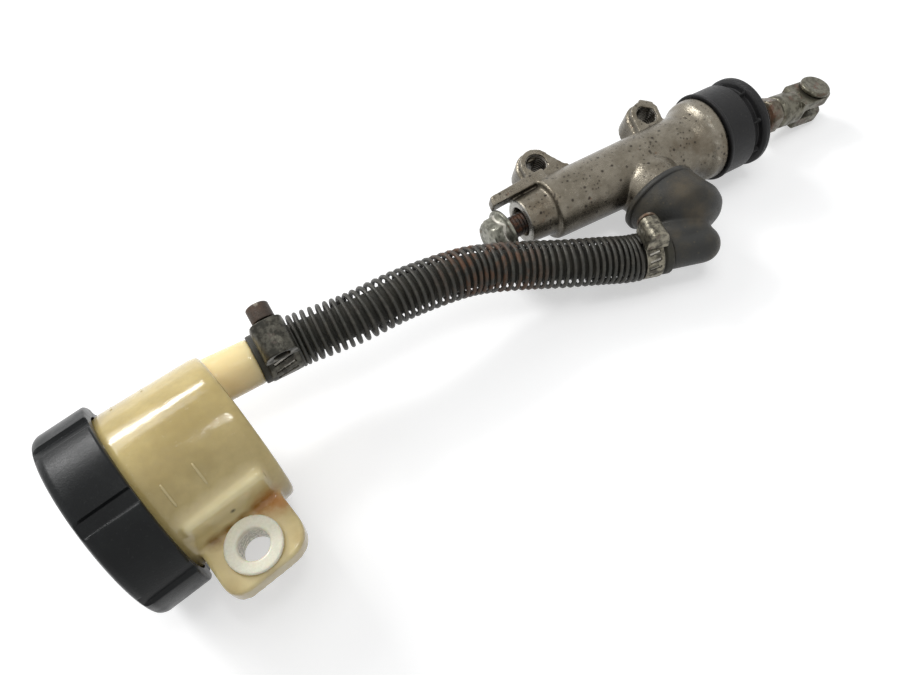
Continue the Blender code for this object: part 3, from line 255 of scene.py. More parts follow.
def meshed(name, grids):
    """One mesh of grids that close on themselves sideways, with poles merged and faces pointing out."""
    points = np.concatenate([grid.reshape(-1, 3) for grid in grids])
    faces = []
    first = 0
    for grid in grids:
        index = first + np.arange(grid.shape[0] * grid.shape[1]).reshape(grid.shape[:2])
        index = np.hstack((index, index[:, :1]))
        quads = np.stack((index[:-1, :-1], index[:-1, 1:], index[1:, 1:], index[1:, :-1]), axis=-1)
        faces.append(quads.reshape(-1, 4))
        first += grid.shape[0] * grid.shape[1]
    mesh = bpy.data.meshes.new(name)
    mesh.from_pydata(points, [], np.concatenate(faces).tolist())
    work = bmesh.new()
    work.from_mesh(mesh)
    bmesh.ops.remove_doubles(work, verts=work.verts, dist=2e-7)
    bmesh.ops.dissolve_degenerate(work, edges=work.edges, dist=1e-8)
    bmesh.ops.recalc_face_normals(work, faces=work.faces)
    work.to_mesh(mesh)
    work.free()
    return mesh


def moulded(name, grids, voxel, passes, bore=None):
    """Overlapping closed shells melted into one skin: a voxel remesh, then smoothing that leaves fillets. A
    bore, if one is given, is cut out at the end."""
    rough = bpy.data.objects.new(name + "_rough", meshed(name + "_rough", grids))
    scene.collection.objects.link(rough)
    remesh = rough.modifiers.new("melt", "REMESH")
    remesh.mode = "VOXEL"
    remesh.voxel_size = voxel
    smooth = rough.modifiers.new("fillet", "SMOOTH")
    smooth.factor = 0.5
    smooth.iterations = passes
    spent = [rough]
    if bore is not None:
        cutter = bpy.data.objects.new(name + "_bore", meshed(name + "_bore", [bore]))
        scene.collection.objects.link(cutter)
        spent.append(cutter)
        drill = rough.modifiers.new("drill", "BOOLEAN")
        drill.operation = "DIFFERENCE"
        drill.solver = "EXACT"
        drill.object = cutter
    graph = bpy.context.evaluated_depsgraph_get()
    mesh = bpy.data.meshes.new_from_object(rough.evaluated_get(graph))
    mesh.name = name
    for thing in spent:
        bpy.data.objects.remove(thing)
    return mesh


def fitted(name, mesh, look, body, nodes=(), sharp=None):
    """The finished piece: smooth-shaded, with its finish, in place of its CAD nodes and riding on a body,
    if one is named."""
    mesh.shade_smooth()
    if sharp:
        mesh.set_sharp_from_angle(angle=np.radians(sharp))
    mesh.materials.clear()
    mesh.materials.append(look)
    made = bpy.data.objects.new(name, mesh)
    scene.collection.objects.link(made)
    if body:
        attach(made, body)
    if nodes:
        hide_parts(*nodes)
    return made


def paint(red, green, blue):
    """A colour from its 0 to 255 screen values, made linear."""
    screen = np.array((red, green, blue)) / 255.0
    linear = np.where(screen <= 0.04045, screen / 12.92, ((screen + 0.055) / 1.055) ** 2.4)
    return (*linear.tolist(), 1.0)


def new_group(name, inputs, outputs):
    """An empty shader group with float inputs, given with their values, and float outputs."""
    tree = bpy.data.node_groups.new(name, "ShaderNodeTree")
    for label, value in inputs.items():
        tree.interface.new_socket(label, in_out="INPUT", socket_type="NodeSocketFloat").default_value = value
    for label in outputs:
        tree.interface.new_socket(label, in_out="OUTPUT", socket_type="NodeSocketFloat")
    return tree, tree.nodes.new("NodeGroupInput").outputs, tree.nodes.new("NodeGroupOutput").inputs


def blotch_group():
    """Soft patches: fractal noise in object space, its middle stretched from Low to High into a mask."""
    values = {"Scale": 200.0, "Detail": 6.0, "Low": 0.45, "High": 0.6}
    tree, given, out = new_group("blotches", values, ["Mask"])
    spot = add(tree, "TexCoord").outputs["Object"]
    fractal = {"Vector": spot, "Scale": given["Scale"], "Detail": given["Detail"], "Roughness": 0.62}
    noise = add(tree, "TexNoise", fractal)
    span = {"Value": noise.outputs["Fac"], "From Min": given["Low"], "From Max": given["High"]}
    tree.links.new(add(tree, "MapRange", span, interpolation_type="SMOOTHSTEP").outputs[0], out["Mask"])
    return tree


def speck_group():
    """Round specks: the inside of Size round each cell point, kept in the Share of cells numbered lowest."""
    tree, given, out = new_group("specks", {"Scale": 600.0, "Size": 0.3, "Share": 0.4}, ["Mask"])
    spot = add(tree, "TexCoord").outputs["Object"]
    cells = add(tree, "TexVoronoi", {"Vector": spot, "Scale": given["Scale"]})
    span = {"Value": cells.outputs["Distance"], "From Min": given["Size"], "From Max": 0.0}
    near = add(tree, "MapRange", span)
    split = add(tree, "SeparateColor", {"Color": cells.outputs["Color"]})
    kept = add(tree, "Math", {0: split.outputs[0], 1: given["Share"]}, operation="LESS_THAN")
    mask = add(tree, "Math", {0: near.outputs[0], 1: kept.outputs[0]}, operation="MULTIPLY")
    strong = add(tree, "Math", {0: mask.outputs[0], 1: 2.2}, operation="MULTIPLY", use_clamp=True)
    tree.links.new(strong.outputs[0], out["Mask"])
    return tree


def hollow_group():
    """Dirt in hollows and wear on edges: how much of the space within Reach is closed outside and inside."""
    tree, given, out = new_group("hollows", {"Reach": 2.0 * MM}, ["Dirt", "Wear"])
    for label, inside, low, high in (("Dirt", False, 0.75, 0.25), ("Wear", True, 0.74, 0.42)):
        reach = {"Distance": given["Reach"]}
        shade = add(tree, "AmbientOcclusion", reach, inside=inside, samples=8, only_local=True)
        span = {"Value": shade.outputs["AO"], "From Min": low, "From Max": high}
        tree.links.new(add(tree, "MapRange", span).outputs[0], out[label])
    return tree


def zone_group():
    """A band across the bore: one between From and To along X, fading over Fade at both sides."""
    tree, given, out = new_group("band_along_x", {"From": 0.0, "To": 0.01, "Fade": 0.001}, ["Mask"])
    split = add(tree, "SeparateXYZ", {0: add(tree, "TexCoord").outputs["Object"]})
    rise = add(tree, "Math", {0: split.outputs["X"], 1: given["From"]}, operation="SUBTRACT")
    fall = add(tree, "Math", {0: given["To"], 1: split.outputs["X"]}, operation="SUBTRACT")
    inside = add(tree, "Math", {0: rise.outputs[0], 1: fall.outputs[0]}, operation="MINIMUM")
    share = add(tree, "Math", {0: inside.outputs[0], 1: given["Fade"]}, operation="DIVIDE", use_clamp=True)
    tree.links.new(share.outputs[0], out["Mask"])
    return tree


def facing_group():
    """Which way the surface looks: Up rises as it turns to the sky, Down as it turns to the table."""
    tree, _, out = new_group("facing", {}, ["Up", "Down"])
    split = add(tree, "SeparateXYZ", {0: add(tree, "NewGeometry").outputs["Normal"]})
    for label, low, high in (("Up", 0.2, 0.95), ("Down", 0.45, -0.35)):
        span = {"Value": split.outputs["Z"], "From Min": low, "From Max": high}
        tree.links.new(add(tree, "MapRange", span, interpolation_type="SMOOTHSTEP").outputs[0], out[label])
    return tree


GROUPS = {
    "blotches": blotch_group(),
    "specks": speck_group(),
    "hollows": hollow_group(),
    "band_along_x": zone_group(),
    "facing": facing_group(),
}


def mask(tree, group, output="Mask", **inputs):
    """One output of a shared group, placed with this material's own values."""
    made = tree.nodes.new("ShaderNodeGroup")
    made.node_tree = GROUPS[group]
    for key, value in inputs.items():
        made.inputs[key].default_value = value
    return made.outputs[output]


def times(tree, first, second):
    """Two masks, or a mask and a strength, multiplied."""
    return add(tree, "Math", {0: first, 1: second}, operation="MULTIPLY", use_clamp=True).outputs[0]


def layer(tree, cover, under, over):
    """One colour laid over another where the cover mask is high."""
    made = add(tree, "Mix", data_type="RGBA")
    for index, value in ((0, cover), (6, under), (7, over)):
        if isinstance(value, bpy.types.NodeSocket):
            tree.links.new(value, made.inputs[index])
        else:
            made.inputs[index].default_value = value
    return made.outputs[2]


def swing(tree, cover, low, high):
    """A value that goes from low to high with a mask."""
    return add(tree, "MapRange", {"Value": cover, "To Min": low, "To Max": high}).outputs[0]


def finish(name, **sockets):
    """A Principled material with its plain values set: its node tree and its shader."""
    made = bpy.data.materials.new(name)
    made.use_nodes = True
    shader = made.node_tree.nodes["Principled BSDF"]
    for key, value in sockets.items():
        shader.inputs[key.replace("_", " ")].default_value = value
    return made, made.node_tree, shader


def joined(tree, shader, colour=None, roughness=None, metallic=None, height=None, depth=0.1 * MM):
    """Joins what changes over the surface to the shader, with the height through a Bump node."""
    for key, value in (("Base Color", colour), ("Roughness", roughness), ("Metallic", metallic)):
        if value is not None:
            tree.links.new(value, shader.inputs[key])
    if height is not None:
        bump = add(tree, "Bump", {"Height": height, "Distance": depth, "Strength": 0.6})
        tree.links.new(bump.outputs[0], shader.inputs["Normal"])


def cast_finish():
    """Grey casting: dark and pale clouds, painted shade on faces that turn down, clustered pits, worn edges
    lightened further as painted edge highlights, a machined port face and a painted highlight round the bead.
    """
    made, tree, shader = finish("cast_aluminium", Metallic=0.7, Roughness=0.34)
    cloud = mask(tree, "blotches", Scale=240.0, Detail=8.0, Low=0.36, High=0.66)
    pale = mask(tree, "blotches", Scale=520.0, Detail=9.0, Low=0.54, High=0.72)
    stain = mask(tree, "blotches", Scale=75.0, Detail=8.0, Low=0.52, High=0.66)
    cluster = mask(tree, "blotches", Scale=130.0, Detail=3.0, Low=0.36, High=0.52)
    small_pits = times(tree, mask(tree, "specks", Scale=1000.0, Size=0.36, Share=0.42), cluster)
    large_pits = mask(tree, "specks", Scale=560.0, Size=0.3, Share=0.3)
    rust = times(tree, mask(tree, "blotches", Scale=620.0, Detail=6.0, Low=0.63, High=0.7), cluster)
    grain = mask(tree, "blotches", Scale=2600.0, Detail=3.0, Low=0.3, High=0.7)
    dirt = mask(tree, "hollows", "Dirt", Reach=3.0 * MM)
    wear = mask(tree, "hollows", "Wear", Reach=0.9 * MM)
    # Painted shade: faces that turn down are darkened.
    painted_underside_shade = mask(tree, "facing", "Down")
    face = placed(np.array((PORT_FACE, 0.0, 0.0)), cylinder_spot)
    bead = bore_middle[0] + BEAD
    flat = mask(tree, "band_along_x", From=face[0] - 1.0 * MM, To=face[0] + 0.35 * MM, Fade=0.1 * MM)
    spot = add(tree, "TexCoord").outputs["Object"]
    reach = add(tree, "VectorMath", {0: spot, 1: face}, operation="DISTANCE").outputs["Value"]
    round_face = add(tree, "Math", {0: reach, 1: PORT_RADIUS + 0.2 * MM}, operation="LESS_THAN").outputs[0]
    machined = times(tree, flat, round_face)
    # Painted highlight: a lighter band round the crest of the bead.
    lightened = mask(tree, "band_along_x", From=bead - 3.4 * MM, To=bead - 0.2 * MM, Fade=1.2 * MM)
    colour = layer(tree, cloud, paint(138, 131, 117), paint(114, 107, 93))
    colour = layer(tree, times(tree, grain, 0.38), colour, paint(76, 70, 61))
    colour = layer(tree, times(tree, pale, 0.28), colour, paint(166, 161, 150))
    colour = layer(tree, times(tree, stain, 0.55), colour, paint(86, 74, 57))
    colour = layer(tree, times(tree, painted_underside_shade, 0.75), colour, paint(48, 45, 39))
    colour = layer(tree, times(tree, small_pits, 0.8), colour, paint(46, 40, 33))
    colour = layer(tree, times(tree, large_pits, 0.85), colour, paint(38, 32, 26))
    colour = layer(tree, times(tree, rust, 0.7), colour, paint(92, 60, 38))
    colour = layer(tree, times(tree, dirt, 0.8), colour, paint(44, 39, 32))
    # Worn edges, lightened further so that they also serve as painted edge highlights.
    colour = layer(tree, times(tree, wear, 0.75), colour, paint(198, 194, 184))
    colour = layer(tree, times(tree, lightened, swing(tree, pale, 0.15, 0.7)), colour, paint(186, 181, 168))
    colour = layer(tree, times(tree, machined, swing(tree, cloud, 0.95, 0.6)), colour, paint(168, 166, 160))
    joined(tree, shader, colour, swing(tree, grain, 0.2, 0.36), height=grain, depth=0.04 * MM)
    return made


cylinder_spot = standing(bore_middle, bore_x, lug_up)
level_spot = standing(bore_middle, bore_x, (0.0, 0.0, 1.0))
tube = rounded((
    (PORT_FACE, 0.0), (PORT_FACE, PORT_RADIUS), (PORT_END, PORT_RADIUS + 0.5 * MM),
    (PORT_END + 0.3 * MM, TUBE_FRONT), (PORT_END + 1.8 * MM, TUBE_FRONT + 0.1 * MM),
    (BEAD - 6.4 * MM, TUBE_REAR),
    (BEAD - 3.4 * MM, BEAD_RADIUS - 1.6 * MM), (BEAD - 1.9 * MM, BEAD_RADIUS - 0.3 * MM),
    (BEAD + 1.6 * MM, BEAD_RADIUS), (BEAD + 1.7 * MM, SEAT_RADIUS), (TUBE_END, SEAT_RADIUS),
    (TUBE_END, 0.0)), 0.7 * MM)
bore_line = (
    (PORT_FACE - 1.0 * MM, 0.0), (PORT_FACE - 1.0 * MM, PORT_HOLE + 1.3 * MM),
    (PORT_FACE + 0.3 * MM, PORT_HOLE),
    (-24.0 * MM, PORT_HOLE), (-22.5 * MM, 2.1 * MM), (BORE_FLOOR, 2.1 * MM), (BORE_FLOOR, BORE_RADIUS),
    (TUBE_END + 1.0 * MM, BORE_RADIUS), (TUBE_END + 1.0 * MM, 0.0))
casting = [placed(around(tube, 160), cylinder_spot)]
lug_levels = ((LUG_RADIUS, LUG_LOW, LUG_STEP), (LUG_FACE_RADIUS, LUG_STEP - 1.0 * MM, LUG_TOP))
lugs = (
    (-1, 5.7 * MM, 15.0 * MM, ((-2.6, 2.4), (-2.6, 5.2), (1.6, 5.6), (2.0, 2.4)), LUG_STEP + 0.2 * MM),
    (1, 6.8 * MM, 6.3 * MM, ((-0.2, 3.4), (1.0, 5.9), (4.7, 3.1), (3.2, 1.0)), LUG_TOP - 0.1 * MM),
)
for side, left, right, nib, nib_top in lugs:
    sweep = np.radians(np.linspace(180.0, 15.0, 24))
    middle = np.array((side * LUG_APART / 2.0, 0.0))
    hole = middle + (0.0, LUG_OUT)
    for radius, low, high in lug_levels:
        end = np.column_stack((radius * np.cos(sweep), LUG_OUT + radius * np.sin(sweep)))
        foot = np.array(((0.55 * right, 9.2 * MM), (right, 7.7 * MM), (right, 2.7 * MM), (-left, 2.7 * MM)))
        outline = rounded(np.vstack((end, foot)), 1.5 * MM, closed=True)
        casting.append(placed(drilled_plate(outline + middle, hole, LUG_HOLE, low, high), cylinder_spot))
    nib_outline = rounded(np.array(nib) * MM + hole, 0.5 * MM, closed=True)
    casting.append(placed(plate(nib_outline, LUG_LOW + 1.0 * MM, nib_top, 0.3 * MM), cylinder_spot))
boss = np.array((
    (2.0, 0.0), (2.0, 8.4), (7.0, 9.6), (11.4, 9.2), (11.8, 8.0), (13.0, 8.0), (13.0, 0.0))) * MM
boss_spot = standing(placed(np.array((BOSS_ALONG, 0.0, 0.0)), level_spot), (0.0, -1.0, 0.0), (0.0, 0.0, 1.0))
casting.append(placed(around(rounded(boss, 0.8 * MM), 120), boss_spot))
tab = np.array(((-40.1, 5.7), (-39.6, 8.6), (-28.2, 9.7), (-21.2, 10.3), (-21.2, 6.9), (-30.0, 6.4))) * MM
tab_plate = plate(rounded(tab, 0.6 * MM, closed=True), TAB_LOW, TAB_TOP, 0.4 * MM)
casting.append(placed(tab_plate, cylinder_spot))
aluminium = cast_finish()
casting_mesh = moulded("casting", casting, CASTING_VOXEL, 3, placed(around(bore_line, 128), cylinder_spot))
fitted("casting", casting_mesh, aluminium, "housing", ["cylinder_body"], 45.0)

# Lug threads: the tapped lining of the two lug holes. Each is a thin threaded sleeve of the same metal, set
# into its hole. Its dark colours are painted shade for the inside of the holes.
THREAD_PITCH = 1.0 * MM
THREAD_DEPTH = 0.4 * MM


def thread_wave(place, pitch, angle):
    """A zigzag between zero and one, once a pitch, that climbs one pitch in a turn."""
    return 2.0 * np.abs((place / pitch + angle / (2.0 * np.pi)) % 1.0 - 0.5)


def tapped_lining(radius, low, high, pitch, depth, sides):
    """A threaded sleeve: its inner radius falls by depth in a zigzag of (z / pitch + angle / turn)."""
    angle = full_turn(sides)
    height = np.linspace(low, high, int((high - low) / pitch * 8))[:, None]
    inner = radius - depth * thread_wave(height, pitch, angle)
    outer = np.full(sides, radius + 0.15 * MM)
    radii = np.vstack((outer, inner, outer, outer))
    heights = np.concatenate(([low], height[:, 0], [high], [low]))[:, None]
    return np.stack(np.broadcast_arrays(radii * np.cos(angle), radii * np.sin(angle), heights), axis=-1)


def zinc_finish(name, bright, dull, rust, rust_share):
    """Zinc plate: bright and dull patches, dark scuffs in the hollows and a share of rust blooms."""
    made, tree, shader = finish(name, Metallic=0.75, Roughness=0.4)
    clouds = mask(tree, "blotches", Scale=520.0, Detail=8.0, Low=0.4, High=0.62)
    blooms = mask(tree, "blotches", Scale=330.0, Detail=10.0, Low=0.62 - rust_share, High=0.72 - rust_share)
    scuffs = mask(tree, "specks", Scale=1100.0, Size=0.4, Share=0.35)
    dirt = mask(tree, "hollows", "Dirt", Reach=1.2 * MM)
    wear = mask(tree, "hollows", "Wear", Reach=0.4 * MM)
    colour = layer(tree, clouds, bright, dull)
    colour = layer(tree, times(tree, scuffs, 0.5), colour, paint(52, 47, 40))
    colour = layer(tree, times(tree, blooms, 0.85), colour, rust)
    colour = layer(tree, times(tree, dirt, 0.8), colour, paint(36, 31, 26))
    colour = layer(tree, times(tree, wear, 0.6), colour, paint(214, 210, 200))
    metal = swing(tree, blooms, 0.8, 0.1)
    joined(tree, shader, colour, swing(tree, clouds, 0.28, 0.5), metal, clouds, 0.05 * MM)
    return made


# Dark colours as painted shade inside the lug holes.
thread_shade_metal = zinc_finish("oily_thread", paint(66, 62, 55), paint(38, 34, 29), paint(62, 46, 32), 0.04)
for name, side in (("lug_thread_front", -1), ("lug_thread_rear", 1)):
    lining = tapped_lining(LUG_HOLE, LUG_LOW + 0.3 * MM, LUG_TOP - 0.5 * MM, THREAD_PITCH, THREAD_DEPTH, 72)
    lining = placed(lining + (side * LUG_APART / 2.0, LUG_OUT, 0.0), cylinder_spot)
    fitted(name, meshed(name, [lining]), thread_shade_metal, "housing")

# Transit bolt: a flange bolt that stands loosely in the wider outlet port and leans, to keep dirt out. Its
# head and flange are zinc plated, and the plate is gone from the rusty shank.
BOLT_MIDDLE = PORT_FACE + 4.75 * MM
BOLT_FLANGE = -10.35 * MM
BOLT_TOP = -15.95 * MM
BOLT_FLATS = 9.8 * MM
BOLT_SHANK = 3.2 * MM
BOLT_LEAN = np.radians(4.0)
bolt_along = cylinder_spot[1] @ (np.cos(BOLT_LEAN), np.sin(BOLT_LEAN), 0.0)
bolt_spot = standing(placed(np.array((BOLT_MIDDLE, 0.0, 0.0)), cylinder_spot), bolt_along, lug_up)


def hexagon_bar(stations, cone, flats, sides):
    """A hexagon cut by a cone: the radius is the smaller of flats / (2 cos a) and the cone at a station."""
    angle = full_turn(sides)
    fold = (angle % (np.pi / 3.0)) - np.pi / 6.0
    radius = np.minimum(flats / 2.0 / np.cos(fold), np.asarray(cone)[:, None])
    along = np.asarray(stations)[:, None]
    return ringed(along, radius, angle)


def threaded_bar(start, end, radius, pitch, depth, sides):
    """A screw thread: the radius falls by depth in a zigzag of x and angle, and both ends are closed."""
    angle = full_turn(sides)
    along = np.linspace(start, end, int(abs(end - start) / pitch * 8))[:, None]
    thread = radius - depth * thread_wave(along, pitch, angle)
    radii = np.vstack((np.zeros(sides), thread, np.zeros(sides)))
    stations = np.concatenate(([start], along[:, 0], [end]))[:, None]
    return ringed(stations, radii, angle)


def rust_finish(name, base, orange, dark, metal):
    """Rusted steel: brown base, orange blooms, dark scale, a rough grain and a little wear on edges."""
    made, tree, shader = finish(name, Roughness=0.7)
    blooms = mask(tree, "blotches", Scale=380.0, Detail=10.0, Low=0.45, High=0.66)
    scale = mask(tree, "blotches", Scale=240.0, Detail=6.0, Low=0.5, High=0.66)
    grain = mask(tree, "blotches", Scale=2200.0, Detail=5.0, Low=0.3, High=0.7)
    wear = mask(tree, "hollows", "Wear", Reach=0.4 * MM)
    dirt = mask(tree, "hollows", "Dirt", Reach=1.0 * MM)
    colour = layer(tree, times(tree, blooms, 0.75), base, orange)
    colour = layer(tree, times(tree, scale, 0.7), colour, dark)
    colour = layer(tree, times(tree, grain, 0.25), colour, dark)
    colour = layer(tree, times(tree, dirt, 0.7), colour, paint(28, 24, 20))
    colour = layer(tree, times(tree, wear, 0.5), colour, paint(168, 160, 146))
    rough = swing(tree, blooms, 0.45, 0.75)
    joined(tree, shader, colour, rough, swing(tree, blooms, metal, 0.0), grain, 0.08 * MM)
    return made


hex_rows = np.array((0.0, 0.0, 0.35, 1.1, 4.4)) * MM + BOLT_TOP
hex_cone = np.array((0.0, 4.55, 5.1, 6.2, 6.2)) * MM
flange = np.array(((-2.6, 0.0), (-2.6, 4.8), (-1.1, 5.9), (-0.9, 6.7), (0.0, 6.8), (0.0, 0.0))) * MM
bolt_head = [
    hexagon_bar(hex_rows, hex_cone, BOLT_FLATS, 120),
    around(rounded(flange + (BOLT_FLANGE, 0.0), 0.25 * MM), 96),
]
bolt_zinc = zinc_finish("bolt_zinc", paint(138, 137, 126), paint(98, 98, 88), paint(116, 84, 50), 0.03)
bolt_mesh = meshed("port_bolt_fine", [placed(grid, bolt_spot) for grid in bolt_head])
fitted("port_bolt_fine", bolt_mesh, bolt_zinc, "housing", ["port_bolt"], 40.0)
shank = threaded_bar(BOLT_FLANGE - 0.5 * MM, 4.6 * MM, BOLT_SHANK, 1.0 * MM, 0.35 * MM, 72)
shank_rust = rust_finish("shank_rust", paint(44, 36, 30), paint(96, 56, 28), paint(27, 24, 21), 0.4)
shank_mesh = meshed("port_bolt_shank", [placed(shank, bolt_spot)])
fitted("port_bolt_shank", shank_mesh, shank_rust, "housing")

# Dust boot: moulded black rubber, a band gripping the end of the casting, a ribbed groove, a round lip and
# a cone whose tall slot leaves the rod room to swing.
ROD_DROOP = np.radians(8.4)
BOOT_RIBS = 8
BOOT_RIB_RISE = 1.3 * MM
BOOT_GROOVE = (40.9 * MM, 43.8 * MM)


def boot_skin(line, groove, ribs, sides):
    """Rings on a line of (along, radius, reach): each is drawn out up and down by its reach share of the
    rod's sweep, which leaves the rod room to swing, and thin ribs at the peaks of cos(ribs * angle) cross
    the groove."""
    angle = full_turn(sides)
    along, radius, reach = line.T[:, :, None]
    inside = (along > groove[0]) & (along < groove[1]) & (radius > 10.0 * MM)
    rib = BOOT_RIB_RISE * np.clip(np.cos(ribs * angle) * 14.0 - 13.0, 0.0, 1.0) * inside
    room = reach * (along - BALL_ALONG) * np.tan(ROD_DROOP) * np.clip(3.0 * np.cos(angle), -1.0, 1.0)
    out = radius + rib
    return np.stack(np.broadcast_arrays(along, -out * np.sin(angle), out * np.cos(angle) + room), axis=-1)


def soft_mark_group():
    """A soft mark round a point, for stains, dust, painted shade and painted light: one at the point, zero at
    Size, broken up by the Broken share of noise.
    """
    given_values = {"X": 0.0, "Y": 0.0, "Z": 0.0, "Size": 5.0 * MM, "Broken": 1.0}
    tree, given, out = new_group("stain", given_values, ["Mask"])
    spot = add(tree, "TexCoord").outputs["Object"]
    centre = add(tree, "CombineXYZ", {"X": given["X"], "Y": given["Y"], "Z": given["Z"]})
    gap = add(tree, "VectorMath", {0: spot, 1: centre.outputs[0]}, operation="DISTANCE")
    fall = add(tree, "MapRange", {"Value": gap.outputs["Value"], "From Min": given["Size"], "From Max": 0.0})
    noise = add(tree, "TexNoise", {"Vector": spot, "Scale": 560.0, "Detail": 8.0})
    share = {"Factor": given["Broken"], "A": 0.5, "B": noise.outputs["Fac"]}
    rough = add(tree, "Mix", share)
    broken = add(tree, "Math", {0: fall.outputs[0], 1: rough.outputs[0]}, operation="MULTIPLY")
    strong = add(tree, "Math", {0: broken.outputs[0], 1: 2.4}, operation="MULTIPLY", use_clamp=True)
    tree.links.new(strong.outputs[0], out["Mask"])
    return tree


GROUPS["stain"] = soft_mark_group()


def with_marks(tree, colour, marks, spot, broken=1.0):
    """Marks laid over a colour: each has a point and a size in millimetres, a strength and an ink."""
    for point, size, strength, ink in marks:
        x, y, z = placed(np.array(point) * MM, spot)
        cover = mask(tree, "stain", X=x, Y=y, Z=z, Size=size * MM, Broken=broken)
        colour = layer(tree, times(tree, cover, strength), colour, ink)
    return colour


def rubber_finish(name, base, dust, dust_share, rough, marks=()):
    """Old rubber: a dark base with a fine grain, pale dust in patches and specks, and dirt in hollows."""
    made, tree, shader = finish(name, Roughness=rough, Specular_IOR_Level=0.25)
    cloud = mask(tree, "blotches", Scale=130.0, Detail=8.0, Low=0.42, High=0.7)
    grain = mask(tree, "blotches", Scale=3200.0, Detail=3.0, Low=0.3, High=0.7)
    specks = mask(tree, "specks", Scale=800.0, Size=0.3, Share=0.22)
    dirt = mask(tree, "hollows", "Dirt", Reach=1.6 * MM)
    colour = layer(tree, times(tree, cloud, dust_share), base, dust)
    colour = layer(tree, times(tree, specks, 0.5), colour, dust)
    colour = layer(tree, times(tree, dirt, 0.5), colour, paint(20, 19, 18))
    colour = with_marks(tree, colour, marks, level_spot)
    dulled = swing(tree, grain, rough - 0.08, rough + 0.12)
    joined(tree, shader, colour, dulled, height=grain, depth=0.06 * MM)
    return made


boot_line = rounded(np.array((
    (31.4, 10.4, 0.0), (31.4, 13.1, 0.0), (31.6, 13.4, 0.0), (32.2, 13.4, 0.0), (32.4, 13.1, 0.0),
    (40.4, 13.1, 0.0), (40.8, 12.9, 0.0), (41.0, 11.4, 0.0), (43.6, 11.2, 0.0), (43.9, 12.6, 0.0),
    (44.5, 13.5, 0.0), (46.0, 13.5, 0.0), (46.8, 12.4, 0.0), (47.2, 9.6, 0.3), (49.1, 5.9, 0.8),
    (50.1, 4.7, 1.0), (51.3, 4.4, 1.0), (51.3, 3.4, 1.0), (49.4, 3.4, 1.0), (46.1, 8.0, 0.3),
    (45.1, 9.6, 0.0), (41.3, 10.2, 0.0), (41.2, 10.4, 0.0), (31.4, 10.4, 0.0))) * (MM, MM, 1.0), 0.35 * MM)
boot_grid = placed(boot_skin(boot_line, BOOT_GROOVE, BOOT_RIBS, 320), level_spot)
boot_rubber = rubber_finish("boot_rubber", paint(25, 25, 26), paint(50, 48, 45), 0.16, 0.4)
boot_mesh = meshed("dust_boot_fine", [boot_grid])
boot = fitted("dust_boot_fine", boot_mesh, boot_rubber, None, ["dust_boot"])
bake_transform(boot)

# Pushrod and lock nut: a rusted steel rod with a ball at the piston and a screw thread at the clevis, and a
# plated nut run up against the clevis.
rod_along = np.array((np.cos(ROD_DROOP), 0.0, -np.sin(ROD_DROOP)))
rod_spot = standing(ball, rod_along, (0.0, 0.0, 1.0))
BALL_RADIUS = 3.6 * MM
ROD_RADIUS = 3.0 * MM
NUT_FLATS = 9.8 * MM
bend = np.linspace(0.0, 2.45, 24)
rod_ball = np.column_stack((-BALL_RADIUS * np.cos(bend), BALL_RADIUS * np.sin(bend)))
rod_shank = np.array(((3.6, 2.3), (7.6, 2.3), (8.8, 3.0), (26.5, 3.0), (26.5, 0.0))) * MM
rod_grids = [
    around(np.vstack((rod_ball, rod_shank)), 64),
    threaded_bar(26.0 * MM, 40.0 * MM, ROD_RADIUS, 1.0 * MM, 0.4 * MM, 64),
]
rod_rust = rust_finish("rod_rust", paint(92, 78, 62), paint(116, 78, 48), paint(52, 44, 38), 0.6)
rod_mesh = meshed("pushrod_fine", [placed(grid, rod_spot) for grid in rod_grids])
fitted("pushrod_fine", rod_mesh, rod_rust, "pushrod", ["pushrod"], 50.0)
nut_rows = np.array((27.5, 27.5, 27.85, 28.5, 30.9, 31.55, 31.9, 31.9, 27.5)) * MM
nut_cone = np.array((3.3, 4.7, 5.2, 6.2, 6.2, 5.2, 4.7, 3.3, 3.3)) * MM
nut_zinc = zinc_finish("nut_zinc", paint(108, 102, 89), paint(84, 76, 64), paint(92, 64, 46), 0.13)
nut_mesh = meshed("lock_nut_fine", [placed(hexagon_bar(nut_rows, nut_cone, NUT_FLATS, 120), rod_spot)])
fitted("lock_nut_fine", nut_mesh, nut_zinc, "pushrod", ["lock_nut"], 40.0)

# Clevis, pin and clip: a plated steel fork turned and slotted from bar, with a headed pin through its cheeks
# and a snap clip under it. The olive plate is spotted with rust.
CLEVIS_HALF = 4.8 * MM
CLEVIS_SLOT_HALF = 1.7 * MM
PIN_ALONG = 48.4 * MM
PIN_RADIUS = 2.4 * MM
clevis_shank = np.array(((32.2, 0.0), (32.2, 4.6), (33.0, 5.2), (41.3, 5.2), (41.8, 4.3), (41.8, 0.0))) * MM
nose_sweep = np.radians(np.linspace(-90.0, 90.0, 33))
nose = np.array((49.7 * MM, 0.0)) + CLEVIS_HALF * np.column_stack((np.cos(nose_sweep), np.sin(nose_sweep)))
cheek = np.vstack(((40.4 * MM, -CLEVIS_HALF), nose, (40.4 * MM, CLEVIS_HALF)))
root = np.array(((39.8, -4.8), (42.0, -4.8), (42.0, 4.8), (39.8, 4.8))) * MM
pin_place = np.array((PIN_ALONG, 0.0))
clevis = [
    around(rounded(clevis_shank, 0.5 * MM), 96),
    plate(rounded(root, 0.3 * MM, closed=True), -CLEVIS_HALF, CLEVIS_HALF),
]
for low, high in ((CLEVIS_SLOT_HALF, CLEVIS_HALF), (-CLEVIS_HALF, -CLEVIS_SLOT_HALF)):
    clevis.append(drilled_plate(cheek, pin_place, PIN_RADIUS + 0.3 * MM, low, high))
clevis_zinc = zinc_finish("clevis_zinc", paint(112, 109, 96), paint(84, 81, 70), paint(88, 64, 46), 0.06)
clevis_mesh = moulded("clevis_fine", [placed(grid, rod_spot) for grid in clevis], 0.17 * MM, 3)
fitted("clevis_fine", clevis_mesh, clevis_zinc, "pushrod", ["clevis"])
